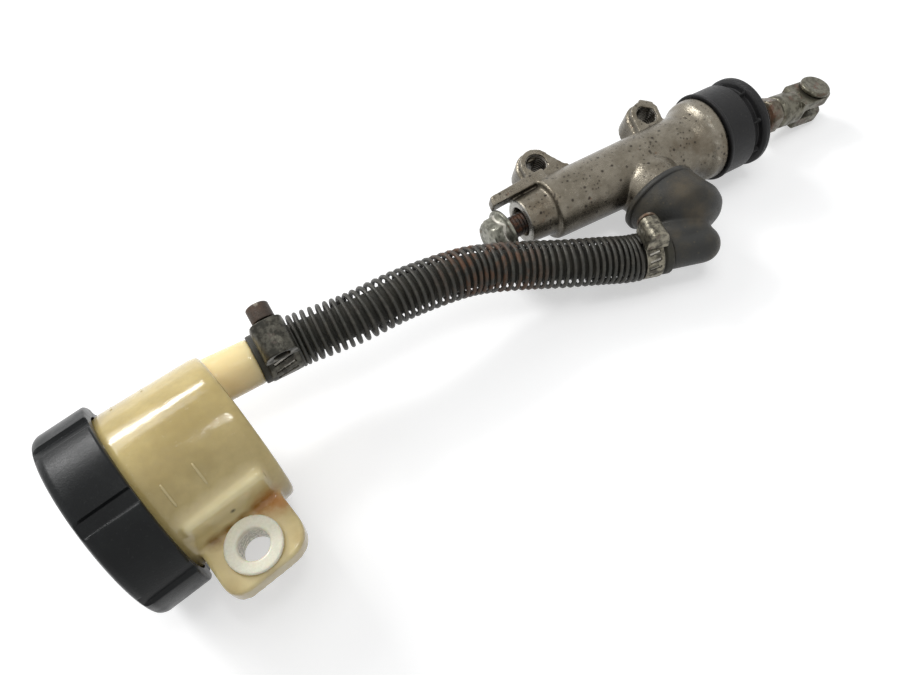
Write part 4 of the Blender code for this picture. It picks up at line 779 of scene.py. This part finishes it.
pin = np.array((
    (-6.4, 0.0), (-6.4, 2.0), (-6.1, 2.4), (-5.9, 2.4), (-5.9, 1.7), (-5.0, 1.7), (-5.0, 2.4), (5.1, 2.4),
    (5.1, 4.6), (5.4, 4.8), (6.2, 4.8), (6.6, 4.3), (6.5, 2.4), (6.5, 0.0))) * MM
pin_spot = standing(placed(np.array((PIN_ALONG, 0.0, 0.0)), rod_spot), rod_spot[1][:, 2], rod_along)
pin_mesh = meshed("clevis_pin_fine", [placed(around(rounded(pin, 0.25 * MM), 96), pin_spot)])
fitted("clevis_pin_fine", pin_mesh, clevis_zinc, "clevis_pin", ["clevis_pin"])


def refinished(name, look):
    """A CAD node that keeps its shape takes a new finish."""
    finishes = frame["nodes"][name].data.materials
    finishes.clear()
    finishes.append(look)


refinished("pin_clip", clevis_zinc)

# Elbow: a dark grey moulding pushed over the inlet boss, a bell that leans into a round leg for the hose.
# Dust sits on its upper side and in the saddle between bell and leg, and three marks of painted shade darken
# a fold on the upper side of the bell.
ELBOW_RADIUS = 11.5 * MM
ELBOW_START = 12.1 * MM
ELBOW_LENGTH = 14.9 * MM
ELBOW_LEAN = 5.4 * MM
LEG_START = np.array((-3.2, -27.5, -2.1)) * MM
LEG_TURN = np.radians(-16.0)
LEG_RADIUS = 5.4 * MM


def leaning_bell(line, sides):
    """Rings on a line of (share of length, share of lean, radius), each square to the boss."""
    angle = full_turn(sides)
    share, lean, radius = np.asarray(line).T[:, :, None]
    across = BOSS_ALONG + ELBOW_LEAN * lean + radius * np.cos(angle)
    out = -(ELBOW_START + ELBOW_LENGTH * share)
    return np.stack(np.broadcast_arrays(across, out, radius * np.sin(angle)), axis=-1)


bell_line = np.array((
    (0.0, 0.0, 0.0), (0.0, 0.0, 0.965), (0.36, 0.22, 0.965), (0.6, 0.55, 0.93), (0.8, 0.85, 0.76),
    (0.94, 1.0, 0.5), (1.0, 1.0, 0.16), (1.0, 1.0, 0.0))) * (1, 1, ELBOW_RADIUS)
leg_nose = np.linspace(0.0, np.pi / 2.0, 16)
leg_line = np.vstack((
    np.array(((-11.0, 0.0), (-11.0, 2.8), (-10.2, 3.3), (0.3, 3.3), (0.3, 5.1), (0.7, 5.4))) * MM,
    np.column_stack((10.8 * MM + LEG_RADIUS * np.sin(leg_nose), LEG_RADIUS * np.cos(leg_nose)))))
leg_ahead = np.array((np.cos(LEG_TURN), np.sin(LEG_TURN), 0.0))
leg_spot = standing(placed(LEG_START, level_spot), leg_ahead, (0.0, 0.0, 1.0))
web_sweep = np.linspace(0.0, np.pi, 25)
web_line = np.column_stack((5.5 * MM - 9.5 * MM * np.cos(web_sweep), 5.0 * MM * np.sin(web_sweep)))
web_spot = standing(leg_spot[0] + leg_spot[1] @ (0.0, 3.2 * MM, 1.6 * MM), leg_ahead, (0.0, 0.0, 1.0))
elbow = [
    placed(leaning_bell(rounded(bell_line, 0.06), 140), level_spot),
    placed(around(leg_line, 96), leg_spot),
    placed(around(web_line, 72), web_spot),
]
# Dust marks, and three grey marks of painted shade along a fold on the upper side of the bell.
elbow_dust = paint(98, 88, 71)
painted_fold_shade = paint(37, 37, 36)
elbow_dust_and_painted_shade = (
    ((5.6, -19.4, 10.3), 6.0, 0.5, elbow_dust),
    ((-1.6, -26.1, 9.5), 4.5, 0.5, painted_fold_shade),
    ((3.3, -24.5, 9.8), 4.5, 0.55, painted_fold_shade),
    ((9.0, -22.4, 9.0), 4.0, 0.5, painted_fold_shade),
    ((7.8, -26.4, 6.0), 4.5, 0.6, elbow_dust),
    ((3.7, -26.8, 7.6), 4.0, 0.6, elbow_dust),
    ((-1.9, -27.5, 6.4), 4.0, 0.5, elbow_dust),
)
elbow_rubber = rubber_finish("elbow_rubber", paint(54, 54, 52), paint(84, 77, 63), 0.5, 0.42, elbow_dust_and_painted_shade)
elbow_mesh = moulded("elbow_fine", elbow, 0.28 * MM, 34)
fitted("elbow_fine", elbow_mesh, elbow_rubber, "housing", ["elbow"])
rim_line = np.array((
    (0.0, 0.0, 0.9), (0.0, 0.0, 1.0), (0.085, 0.0, 1.0), (0.11, 0.0, 0.94), (0.0, 0.0, 0.9)))
rim_grid = leaning_bell(rounded(rim_line * (1, 1, ELBOW_RADIUS), 0.02), 140)
rim_mesh = meshed("elbow_rim", [placed(rim_grid, level_spot)])
fitted("elbow_rim", rim_mesh, elbow_rubber, "housing")

# Hose: black rubber tube from the pot's spigot to the elbow, swollen at both ends over the nipples. Its ends
# lie straight in the clamps and the middle follows the photograph.
pot_back = -np.array(joints["cap_turn"]["axis"])
pot_spot = standing(joints["cap_turn"]["pos_m"], pot_back, (0.0, 0.0, 1.0))
SPIGOT_START = np.array((29.0, 16.3, -1.5)) * MM
SPIGOT_TURN = np.radians(-9.5)
SPIGOT_LENGTH = 18.4 * MM
spigot_ahead = pot_spot[1] @ (np.cos(SPIGOT_TURN), np.sin(SPIGOT_TURN), 0.0)
spigot_spot = standing(placed(SPIGOT_START, pot_spot), spigot_ahead, (0.0, 0.0, 1.0))
HOSE_RADIUS = 4.5 * MM
HOSE_END_RADIUS = 5.5 * MM
HOSE_BORE = 3.6 * MM
HOSE_STRAIGHT = 11.4 * MM
POT_SWELL = 8.6 * MM
ELBOW_SWELL = 6.9 * MM
LIP_LENGTH = 2.3 * MM
LIP_RISE = 0.75 * MM
HOSE_ROUTE = np.array((
    (-90.5, -10.2, 8.5), (-76.1, -9.9, 8.2), (-61.4, -10.1, 6.2), (-52.6, -11.1, 4.2), (-42.3, -14.0, 2.0),
    (-31.8, -17.9, 0.2), (-20.4, -22.1, -1.2))) * MM
shares = np.array((0.0, 0.5, 1.0))[:, None]
hose_first = spigot_spot[0] + spigot_ahead * (SPIGOT_LENGTH + 0.2 * MM + HOSE_STRAIGHT * shares)
hose_last = leg_spot[0] - leg_ahead * HOSE_STRAIGHT * (1.0 - shares)
knots = np.vstack((hose_first, HOSE_ROUTE + bore_middle, hose_last))


def smooth_route(knots, count):
    """Even points on a Catmull-Rom curve: each span is the cubic through its two knots with the chord of its
    neighbours as slope."""
    padded = np.vstack((2 * knots[0] - knots[1], knots, 2 * knots[-1] - knots[-2]))
    a, b, c, d = (padded[start:start + len(knots) - 1, None] for start in range(4))
    t = np.linspace(0.0, 1.0, 60, endpoint=False)[None, :, None]
    dense = 0.5 * (2 * b + (c - a) * t + (2 * a - 5 * b + 4 * c - d) * t**2 + (3 * b - a - 3 * c + d) * t**3)
    dense = np.vstack((dense.reshape(-1, 3), knots[-1]))
    run = np.r_[0.0, np.cumsum(np.linalg.norm(np.diff(dense, axis=0), axis=1))]
    wanted = np.linspace(0.0, run[-1], count)
    return wanted, np.column_stack([np.interp(wanted, run, dense[:, axis]) for axis in range(3)])


def route_sides(points):
    """The direction of a route and its two square directions: the one nearest to up, and the level one."""
    ahead = np.gradient(points, axis=0)
    ahead /= np.linalg.norm(ahead, axis=1)[:, None]
    up = np.array((0.0, 0.0, 1.0)) - ahead * ahead[:, 2:]
    up /= np.linalg.norm(up, axis=1)[:, None]
    return ahead, up, np.cross(ahead, up)


def swept(points, radius, sides):
    """A round section carried along a route: point plus radius times (up cos a + side sin a)."""
    angle = full_turn(sides)[None, :, None]
    _, up, side = route_sides(points)
    ring = up[:, None] * np.cos(angle) + side[:, None] * np.sin(angle)
    return points[:, None] + ring * np.asarray(radius)[:, None, None]


hose_run, hose_points = smooth_route(knots, 480)
from_end = np.minimum(hose_run, hose_run[-1] - hose_run)
to_elbow = hose_run[-1] - hose_run
ease = np.clip(np.minimum(hose_run - POT_SWELL, to_elbow - ELBOW_SWELL) / (0.8 * MM), 0.0, 1.0)
hose_outer = HOSE_END_RADIUS + (HOSE_RADIUS - HOSE_END_RADIUS) * (3 * ease**2 - 2 * ease**3)
hose_outer += LIP_RISE * np.clip((LIP_LENGTH - from_end) / (0.5 * MM), 0.0, 1.0)
hose_outer -= 0.15 * MM * np.clip(1.0 - from_end / (0.3 * MM), 0.0, 1.0)
outer_skin = swept(hose_points, hose_outer, 48)
inner_skin = swept(hose_points, np.full(len(hose_points), HOSE_BORE), 48)
hose_grid = np.concatenate((outer_skin, inner_skin[::-1], outer_skin[:1]))
hose_rubber = rubber_finish("hose_rubber", paint(50, 49, 44), paint(80, 77, 65), 0.5, 0.5)
fitted("hose_fine", meshed("hose_fine", [hose_grid]), hose_rubber, "housing", ["hose"])

# Spring guard: one round steel wire wound on the hose between the clamps, close at both ends and open
# between. It is black with age and rusted along its middle stretch.
GUARD_TURNS = 51
GUARD_WIRE = 0.58 * MM
GUARD_COIL = 6.1 * MM
GUARD_FROM_POT = 9.9 * MM
GUARD_FROM_ELBOW = 8.0 * MM
GUARD_POINTS = 26


def wound_wire(route, run, start, end, turns, coil, wire, points, sides):
    """A wire on a helix round a route. The pitch dips in a bell curve at both ends and wavers a little
    between, and the wire's section stands square to the helix on the coil's own radius."""
    share = np.linspace(0.0, 1.0, turns * points + 1)
    pitch = 1.0 + 0.08 * np.sin(11.0 * np.pi * share) - 0.42 * np.exp(-(share / 0.05) ** 2)
    pitch -= 0.34 * np.exp(-((1.0 - share) / 0.12) ** 2)
    spaced = np.cumsum(pitch) - pitch[0]
    wanted = start + (end - start) * spaced / spaced[-1]
    centre = np.column_stack([np.interp(wanted, run, route[:, axis]) for axis in range(3)])
    _, up, side = route_sides(centre)
    turn = (2.0 * np.pi * turns * share)[:, None]
    spoke = up * np.cos(turn) + side * np.sin(turn)
    line = centre + spoke * coil
    slope = np.gradient(line, axis=0)
    slope /= np.linalg.norm(slope, axis=1)[:, None]
    across = np.cross(slope, spoke)
    angle = full_turn(sides)[None, :, None]
    ring = line[:, None] + wire * (spoke[:, None] * np.cos(angle) + across[:, None] * np.sin(angle))
    tip = np.broadcast_to(line[0], ring[:1].shape)
    tail = np.broadcast_to(line[-1], ring[:1].shape)
    return np.concatenate((tip, ring, tail))


def guard_finish():
    """Aged wire: black-brown oxide, dull grey where worn, and rust in the middle stretch of the hose."""
    made, tree, shader = finish("guard_wire", Roughness=0.55)
    first = knots[5][0] - 8.0 * MM
    last = knots[7][0] + 6.0 * MM
    rusty_zone = mask(tree, "band_along_x", From=first, To=last, Fade=9.0 * MM)
    blooms = mask(tree, "blotches", Scale=260.0, Detail=9.0, Low=0.42, High=0.62)
    lightened = mask(tree, "blotches", Scale=700.0, Detail=6.0, Low=0.5, High=0.66)
    grain = mask(tree, "blotches", Scale=2400.0, Detail=4.0, Low=0.3, High=0.7)
    dirt = mask(tree, "hollows", "Dirt", Reach=0.9 * MM)
    colour = layer(tree, times(tree, lightened, 0.6), paint(52, 52, 47), paint(82, 81, 73))
    rusted = times(tree, blooms, swing(tree, rusty_zone, 0.06, 0.9))
    colour = layer(tree, rusted, colour, paint(92, 62, 40))
    colour = layer(tree, times(tree, grain, 0.3), colour, paint(40, 35, 30))
    colour = layer(tree, times(tree, dirt, 0.6), colour, paint(24, 21, 18))
    rough = swing(tree, rusted, 0.42, 0.72)
    joined(tree, shader, colour, rough, swing(tree, rusted, 0.4, 0.05), grain, 0.06 * MM)
    return made


guard_end = hose_run[-1] - GUARD_FROM_ELBOW
guard_grid = wound_wire(
    hose_points, hose_run, GUARD_FROM_POT, guard_end, GUARD_TURNS, GUARD_COIL, GUARD_WIRE, GUARD_POINTS, 12)
guard_mesh = meshed("spring_guard_fine", [guard_grid])
fitted("spring_guard_fine", guard_mesh, guard_finish(), "housing", ["spring_guard"])

# Hose clamps: two worm-drive clamps, each a slotted steel band, a pressed housing and a screw. The one at
# the pot is dark with grease and has a rusty head. The one at the elbow is narrower, shorter and brighter.
BAND_INNER = 5.8 * MM
BAND_OUTER = 6.5 * MM
BAND_SLOTS = 18
HOUSING_BASE = 6.8 * MM
HOUSING_HALF = 4.5 * MM
SCREW_HEIGHT = 9.5 * MM
SCREW_RADIUS = 1.8 * MM
SCREW_HEAD_RADIUS = 2.8 * MM


def slotted_band(inner, outer, half, slots, sides):
    """A clamp band: a ring whose outer radius drops in slanted slots, where a clipped wave of the angle is
    high and the place across the band is within the slot's length."""
    angle = full_turn(sides)
    across = np.concatenate((np.linspace(-half, half, 45), (half, -half, -half)))[:, None]
    edge = np.clip((half - np.abs(across)) / (0.35 * MM), 0.0, 1.0)
    wave = np.cos(slots * (angle + across / outer * 0.22))
    slot = np.clip(wave * 4.0 - 1.6, 0.0, 1.0)
    slot = slot * np.clip((0.68 * half - np.abs(across)) / (0.25 * MM), 0.0, 1.0)
    radius = outer - 0.12 * MM * (1.0 - edge) ** 2 - 0.55 * MM * slot
    radius[-3:-1] = inner
    return ringed(across, radius, angle)


def slotted_head(start, length, radius, slot, sides):
    """A round screw head: a side, an eased rim and a top whose middle strip of half-width slot is sunk."""
    angle = full_turn(sides)
    top = start + length
    corners = ((start, 0.0), (start, radius), (top, radius), (top, 0.0))
    rim = rounded(corners, (0.0, 0.3 * MM, 0.45 * MM, 0.0))
    inner = np.linspace(radius * 0.9, 0.0, 30)
    line = np.vstack((rim[:-1], np.column_stack((np.full(30, top), inner))))
    along, ring = line.T[:, :, None]
    sunk = (np.abs(ring * np.sin(angle)) < slot) & (along > top - 0.05 * MM)
    depth = along - 0.7 * min(length, 1.4 * MM) * sunk
    return ringed(depth, ring, angle)


clamps = (
    ("reservoir", spigot_ahead, 4.1 * MM, 4.5 * MM, 4.0 * MM, False,
     zinc_finish("clamp_dark_zinc", paint(84, 82, 74), paint(48, 47, 42), paint(64, 54, 44), 0.04),
     rust_finish("screw_rust", paint(68, 58, 50), paint(84, 64, 50), paint(42, 37, 33), 0.5)),
    ("elbow", leg_ahead, 1.0 * MM, 3.0 * MM, 2.5 * MM, True,
     zinc_finish("clamp_bright_zinc", paint(136, 131, 116), paint(70, 67, 59), paint(86, 68, 50), 0.03),
     rust_finish("screw_brown", paint(96, 82, 68), paint(110, 80, 56), paint(60, 50, 42), 0.6)),
)
for name, along, head_length, open_end, half, closed_end, plate_look, screw_look in clamps:
    screw = joints[f"screw_{name}_turn"]
    screw_axis = np.array(screw["axis"])
    up = np.cross(along, screw_axis)
    up /= np.linalg.norm(up)
    clamp_spot = standing(np.array(screw["pos_m"]) - up * SCREW_HEIGHT, along, up)
    band = slotted_band(BAND_INNER, BAND_OUTER, half, BAND_SLOTS, 432)
    band_name = f"clamp_band_{name}"
    band_mesh = meshed(band_name + "_fine", [placed(band, clamp_spot)])
    fitted(band_name + "_fine", band_mesh, plate_look, "housing", [band_name], 50.0)
    crown = np.radians(np.linspace(0.0, 180.0, 25))
    bow = np.sign(np.cos(crown)) * np.abs(np.cos(crown)) ** 0.7
    roof = np.column_stack(((0.7 * half + 1.3 * MM) * bow, 8.2 * MM + 4.1 * MM * np.sin(crown) ** 0.8))
    foot = 0.7 * half + 1.4 * MM
    skirt = np.array(((-foot, 8.0 * MM), (-foot, HOUSING_BASE), (foot, HOUSING_BASE), (foot, 8.0 * MM)))
    section = rounded(np.vstack((roof, skirt)), 0.4 * MM, closed=True)
    worm_middle = np.array((0.0, SCREW_HEIGHT))
    bars = [drilled_plate(section, worm_middle, SCREW_RADIUS + 0.25 * MM, -HOUSING_HALF, open_end)]
    if closed_end:
        bars.append(plate(section, -HOUSING_HALF, 0.9 * MM - HOUSING_HALF, 0.3 * MM))
    bars = [placed(np.stack((bar[..., 0], bar[..., 2], bar[..., 1]), axis=-1), clamp_spot) for bar in bars]
    housing_name = f"clamp_housing_{name}"
    housing_mesh = moulded(housing_name + "_fine", bars, 0.18 * MM, 8)
    fitted(housing_name + "_fine", housing_mesh, plate_look, "housing", [housing_name])
    screw_spot = standing(screw["pos_m"], screw_axis, up)
    worm_start = 1.2 * MM - HOUSING_HALF
    worm = threaded_bar(worm_start, open_end + 0.5 * MM, SCREW_RADIUS, 1.2 * MM, 0.5 * MM, 48)
    head = slotted_head(open_end + 0.3 * MM, head_length, SCREW_HEAD_RADIUS, 0.42 * MM, 120)
    screw_name = f"clamp_screw_{name}"
    screw_mesh = meshed(screw_name + "_fine", [placed(grid, screw_spot) for grid in (worm, head)])
    fitted(screw_name + "_fine", screw_mesh, screw_look, f"screw_{name}", [screw_name], 45.0)

# Reservoir pot: blow-moulded nylon gone yellow, with a mounting lug on a pad at its side and a spigot at its
# foot. Two short level lines stand proud on its wall, and old fluid has left brown stains by the lug. Its
# downward faces carry painted shade, and pale marks on the spigot, on the lug and along the top edge of the
# pad are painted light.
POT_RADIUS = 19.8 * MM
POT_FOOT_RADIUS = 19.0 * MM
NECK_RADIUS = 19.5 * MM
POT_MOUTH = 5.1 * MM
POT_LENGTH = 36.5 * MM
BUSH_PLACE = np.array((23.2, -25.5)) * MM
MOUNT_LOW = -2.6 * MM
MOUNT_TOP = 3.0 * MM
MOUNT_HOLE = 5.3 * MM
LEVEL_PLACES = (16.2 * MM, 23.1 * MM)
LEVEL_ARCS = ((27.5, 43.5), (-52.0, -42.0))
LEVEL_RISE = 0.2 * MM
LEVEL_HALF = 0.28 * MM
# Painted light: pale marks that brighten the spigot and the lug as if lit through the thin nylon, and a row of
# painted highlight along the top edge of the pad.
NYLON_PAINTED_LIGHT = (
    ((37.5, 14.9, 1.0), 12.0, 0.9, paint(250, 228, 172)),
    ((44.5, 13.9, 1.0), 13.0, 0.9, paint(250, 228, 172)),
    ((23.2, -26.5, 3.0), 15.0, 0.8, paint(244, 226, 176)),
    ((16.5, -17.4, 11.4), 4.6, 0.8, paint(248, 232, 184)),
    ((21.0, -17.4, 11.4), 4.6, 0.8, paint(248, 232, 184)),
    ((25.5, -17.4, 11.4), 4.6, 0.8, paint(248, 232, 184)),
    ((30.0, -17.4, 11.4), 4.6, 0.8, paint(248, 232, 184)),
)
NYLON_MARKS = (
    ((30.6, -19.9, 3.4), 4.4, 0.9, paint(172, 112, 40)),
    ((32.6, -21.8, 3.2), 3.2, 0.8, paint(178, 122, 52)),
    ((28.0, -19.7, 3.2), 2.6, 0.9, paint(166, 116, 50)),
    ((24.5, -19.7, 3.2), 2.2, 0.9, paint(162, 120, 58)),
    ((21.0, -19.6, 3.2), 2.2, 0.9, paint(158, 120, 62)),
    ((17.5, -19.5, 3.2), 2.6, 0.9, paint(146, 112, 60)),
    ((35.6, -12.0, 4.0), 5.0, 0.3, paint(150, 118, 66)),
    ((14.6, -30.4, 2.4), 3.4, 0.3, paint(150, 120, 68)),
    ((22.5, -32.4, 2.4), 3.4, 0.3, paint(150, 120, 68)),
    ((31.4, -30.4, 2.4), 3.4, 0.3, paint(150, 120, 68)),
    ((33.5, -24.4, 2.4), 3.4, 0.3, paint(150, 120, 68)),
    ((23.8, -18.3, 7.4), 0.75, 1.0, paint(26, 22, 16)),
)


def nylon_finish(name, light, olive, dirt_and_painted_shading):
    """Yellowed nylon: glossy, with olive clouds, painted shade on faces that turn down, brown dirt in corners
    and on edges, stains by a lug, and painted light on the spigot, the lug and the pad's top edge.
    """
    made, tree, shader = finish(
        name, Roughness=0.12, Subsurface_Weight=0.4 * dirt_and_painted_shading, Subsurface_Scale=0.006, Specular_IOR_Level=0.5)
    shader.inputs["Subsurface Radius"].default_value = (1.0, 0.88, 0.62)
    cloud = mask(tree, "blotches", Scale=45.0, Detail=4.0, Low=0.36, High=0.66)
    scuff = mask(tree, "blotches", Scale=640.0, Detail=9.0, Low=0.62, High=0.72)
    fine = mask(tree, "blotches", Scale=900.0, Detail=6.0, Low=0.35, High=0.7)
    dirt = mask(tree, "hollows", "Dirt", Reach=2.5 * MM)
    wear = mask(tree, "hollows", "Wear", Reach=2.2 * MM)
    painted_underside_shade = mask(tree, "facing", "Down")
    colour = layer(tree, cloud, light, olive)
    colour = layer(tree, times(tree, fine, 0.15), colour, paint(160, 142, 98))
    colour = layer(tree, times(tree, scuff, 0.2), colour, paint(218, 206, 172))
    # Painted shade on faces that turn down.
    colour = layer(tree, times(tree, painted_underside_shade, 0.7 * dirt_and_painted_shading), colour, paint(126, 108, 70))
    colour = layer(tree, times(tree, wear, times(tree, fine, 0.7 * dirt_and_painted_shading)), colour, paint(124, 98, 60))
    colour = layer(tree, times(tree, dirt, 0.6 * dirt_and_painted_shading), colour, paint(118, 92, 54))
    if dirt_and_painted_shading:
        colour = with_marks(tree, colour, NYLON_PAINTED_LIGHT, pot_spot, 0.0)
        colour = with_marks(tree, colour, NYLON_MARKS, pot_spot)
    joined(tree, shader, colour, swing(tree, fine, 0.08, 0.17), height=fine, depth=0.01 * MM)
    return made


pot_wall = rounded((
    (POT_LENGTH, 0.0), (POT_LENGTH, POT_FOOT_RADIUS - 0.4 * MM), (POT_LENGTH - 1.6 * MM, POT_FOOT_RADIUS),
    (12.8 * MM, POT_RADIUS), (12.4 * MM, NECK_RADIUS), (POT_MOUTH, NECK_RADIUS), (POT_MOUTH, 17.4 * MM),
    (32.5 * MM, 16.6 * MM), (34.0 * MM, 15.0 * MM), (34.0 * MM, 0.0)), 1.3 * MM)
lug_corners = np.array(((33.4, -15.0), (33.4, -32.3), (13.8, -32.3), (13.8, -15.0))) * MM
lug_outline = rounded(lug_corners, np.array((0.5, 6.5, 4.5, 0.5)) * MM, steps=16, closed=True)
pad_section = np.array(((-6.1, -19.1), (3.0, -19.1), (11.7, -17.6), (11.7, -13.0), (-6.1, -13.0))) * MM
pad = plate(rounded(pad_section, 1.2 * MM, closed=True), 14.1 * MM, 32.9 * MM, 0.6 * MM)
pad = np.stack((pad[..., 2], pad[..., 1], pad[..., 0]), axis=-1)
spigot = np.array((
    (-2.0, 0.0), (-2.0, 2.9), (4.0, 6.1), (18.7, 5.8), (18.7, 3.3), (29.0, 3.3), (29.4, 2.6),
    (29.4, 0.0))) * MM
pot = [
    placed(around(pot_wall, 220), pot_spot),
    placed(drilled_plate(lug_outline, BUSH_PLACE, MOUNT_HOLE, MOUNT_LOW, MOUNT_TOP), pot_spot),
    placed(pad, pot_spot),
    placed(around(rounded(spigot, 0.15 * MM), 96), spigot_spot),
]
nylon = nylon_finish("yellowed_nylon", paint(203, 183, 125), paint(174, 154, 98), 1.0)
pot_mesh = moulded("reservoir_fine", pot, 0.4 * MM, 10)
fitted("reservoir_fine", pot_mesh, nylon, "housing", ["reservoir_body"])


def wall_line(along, start, end, rise, half, count):
    """A raised line on the pot's wall: a half-round ridge at one place along it, swept over some degrees."""
    angle = np.radians(np.linspace(start, end, count))[:, None]
    wall = POT_RADIUS - (POT_RADIUS - POT_FOOT_RADIUS) * (along - 12.8 * MM) / (22.0 * MM)
    turn = np.linspace(0.0, 2.0 * np.pi, 12, endpoint=False)
    taper = np.sqrt(np.clip(1.0 - np.linspace(-1.0, 1.0, count)[:, None] ** 8, 0.0, 1.0))
    radius = wall + rise * np.sin(turn) * taper
    place = along + half * np.cos(turn) * taper
    return ringed(place, radius, angle)


lines = [
    wall_line(along, start, end, LEVEL_RISE, LEVEL_HALF, 40)
    for along in LEVEL_PLACES
    for start, end in LEVEL_ARCS
]
lines_mesh = meshed("level_lines", [placed(line, pot_spot) for line in lines])
pale_nylon = nylon_finish("pale_nylon", paint(206, 189, 140), paint(196, 178, 128), 0.0)
fitted("level_lines", lines_mesh, pale_nylon, "housing")

# Lug bush: a flanged bush of white nylon for the pot's fixing bolt. It is turned from one profile and
# pressed into the hole of the lug.
BUSH_EASE = np.array((0.0, 0.4, 0.3, 0.3, 0.9, 0.7, 0.0)) * MM
bush = np.array((
    (-2.6, 3.3), (-2.6, 5.0), (3.3, 5.0), (3.3, 6.1), (4.4, 6.1), (4.4, 3.3), (-2.6, 3.3))) * MM
bush_spot = standing(placed(np.append(BUSH_PLACE, 0.0), pot_spot), (0.0, 0.0, 1.0), pot_back)


def white_finish():
    """White nylon: nearly clean, with yellowish rub marks and a gloss that varies finely."""
    made, tree, shader = finish("white_nylon", Roughness=0.24, Subsurface_Weight=0.3, Subsurface_Scale=0.003)
    rub = mask(tree, "blotches", Scale=300.0, Detail=8.0, Low=0.5, High=0.7)
    fine = mask(tree, "blotches", Scale=1500.0, Detail=4.0, Low=0.3, High=0.7)
    colour = layer(tree, times(tree, rub, 0.4), paint(234, 229, 210), paint(204, 196, 170))
    joined(tree, shader, colour, swing(tree, fine, 0.2, 0.34))
    return made


white_nylon = white_finish()
bush_grid = around(rounded(bush, BUSH_EASE), 96)
bush_mesh = meshed("lug_bush_fine", [placed(bush_grid, bush_spot)])
fitted("lug_bush_fine", bush_mesh, white_nylon, "housing", ["lug_bush"])

# Cap: a black plastic screw cap with seven grip grooves and a chamfered rim, screwed on the neck of the pot.
# Dust and fine scratches have dulled it.
CAP_RADIUS = 22.9 * MM
CAP_GROOVES = 7
CAP_GROOVE_HALF = 1.75 * MM
CAP_GROOVE_DEPTH = 0.9 * MM
CAP_GROOVE_TURN = np.radians(24.2)


def grooved_cap(profile, grooves, half, depth, first, sides):
    """A turned cap whose outer wall is drawn in by depth near each groove's angle, with a soft edge."""
    angle = full_turn(sides)
    along, radius = np.asarray(profile).T[:, :, None]
    pitch = 2.0 * np.pi / grooves
    off = np.abs((angle - first + pitch / 2.0) % pitch - pitch / 2.0) * CAP_RADIUS
    groove = np.clip((half - off) / (0.5 * MM) + 0.5, 0.0, 1.0)
    groove = groove**2 * (3.0 - 2.0 * groove)
    limit = CAP_RADIUS - depth * groove
    ring = np.where(radius > CAP_RADIUS - 1.6 * MM, np.minimum(radius, limit), radius)
    return ringed(along, ring, angle)


def cap_finish():
    """Black plastic: grey dust clouds, fine pale scratches, dirt in the grooves and a pale worn rim."""
    made, tree, shader = finish("black_cap", Roughness=0.36, Specular_IOR_Level=0.2)
    dust = mask(tree, "blotches", Scale=120.0, Detail=9.0, Low=0.42, High=0.72)
    scratch = mask(tree, "blotches", Scale=1400.0, Detail=8.0, Low=0.58, High=0.72)
    grain = mask(tree, "blotches", Scale=2600.0, Detail=3.0, Low=0.3, High=0.7)
    dirt = mask(tree, "hollows", "Dirt", Reach=1.5 * MM)
    wear = mask(tree, "hollows", "Wear", Reach=0.5 * MM)
    colour = layer(tree, times(tree, dust, 0.25), paint(13, 15, 16), paint(40, 43, 43))
    colour = layer(tree, times(tree, scratch, 0.12), colour, paint(84, 86, 84))
    colour = layer(tree, times(tree, dirt, 0.5), colour, paint(18, 17, 16))
    colour = layer(tree, times(tree, wear, 0.3), colour, paint(104, 105, 102))
    joined(tree, shader, colour, swing(tree, dust, 0.3, 0.48), height=grain, depth=0.02 * MM)
    return made


cap_outside = np.array(((0.0, 0.0), (0.0, 21.0), (0.5, 22.2), (1.7, 22.8), (11.7, 22.9), (12.0, 22.6))) * MM
cap_inside = np.array(((12.0, 20.1), (2.4, 20.1), (2.4, 0.0))) * MM
cap_profile = np.vstack((rounded(cap_outside, 0.5 * MM), cap_inside))
cap_grid = grooved_cap(cap_profile, CAP_GROOVES, CAP_GROOVE_HALF, CAP_GROOVE_DEPTH, CAP_GROOVE_TURN, 560)
cap_mesh = meshed("cap_fine", [placed(cap_grid, pot_spot)])
fitted("cap_fine", cap_mesh, cap_finish(), "cap", ["cap"], 50.0)

# Inner pieces: piston, seals, stop washer, circlip, slip ring and bellows keep their CAD shapes, out of
# sight in the cylinder and the cap, and take finishes of turned alloy, spring steel, rubber and nylon. The
# return spring is a wound wire that stands from the floor of the bore towards the piston at its free length.
SPRING_FREE = 21.5 * MM
SPRING_GAP = 0.85 * MM
SPRING_WIRE = 0.55 * MM
SPRING_COIL = 4.57 * MM
SPRING_TURNS = 7
turned_alloy = zinc_finish(
    "turned_alloy", paint(206, 206, 202), paint(176, 176, 172), paint(150, 146, 136), 0.0)
spring_steel = zinc_finish(
    "spring_steel", paint(172, 172, 170), paint(142, 142, 140), paint(120, 100, 80), 0.0)
seal_rubber = rubber_finish("seal_rubber", paint(30, 30, 30), paint(58, 56, 52), 0.12, 0.45)
for look, names in (
    (turned_alloy, ("piston",)),
    (spring_steel, ("stop_washer", "circlip")),
    (seal_rubber, ("primary_cup", "secondary_cup", "inlet_seal", "diaphragm")),
    (white_nylon, ("slip_ring",)),
):
    for name in names:
        refinished(name, look)

spring_run = np.linspace(0.0, SPRING_FREE, 60)
spring_line = np.column_stack((BORE_FLOOR + spring_run, 0.0 * spring_run, 0.0 * spring_run))
spring_route = placed(spring_line, level_spot)
spring_grid = wound_wire(
    spring_route, spring_run, SPRING_GAP, SPRING_FREE - SPRING_GAP, SPRING_TURNS, SPRING_COIL, SPRING_WIRE,
    30, 10)
spring_mesh = meshed("return_spring_fine", [spring_grid])
spring = fitted(
    "return_spring_fine", spring_mesh, spring_steel, "housing", ["return_spring"])
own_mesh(spring)
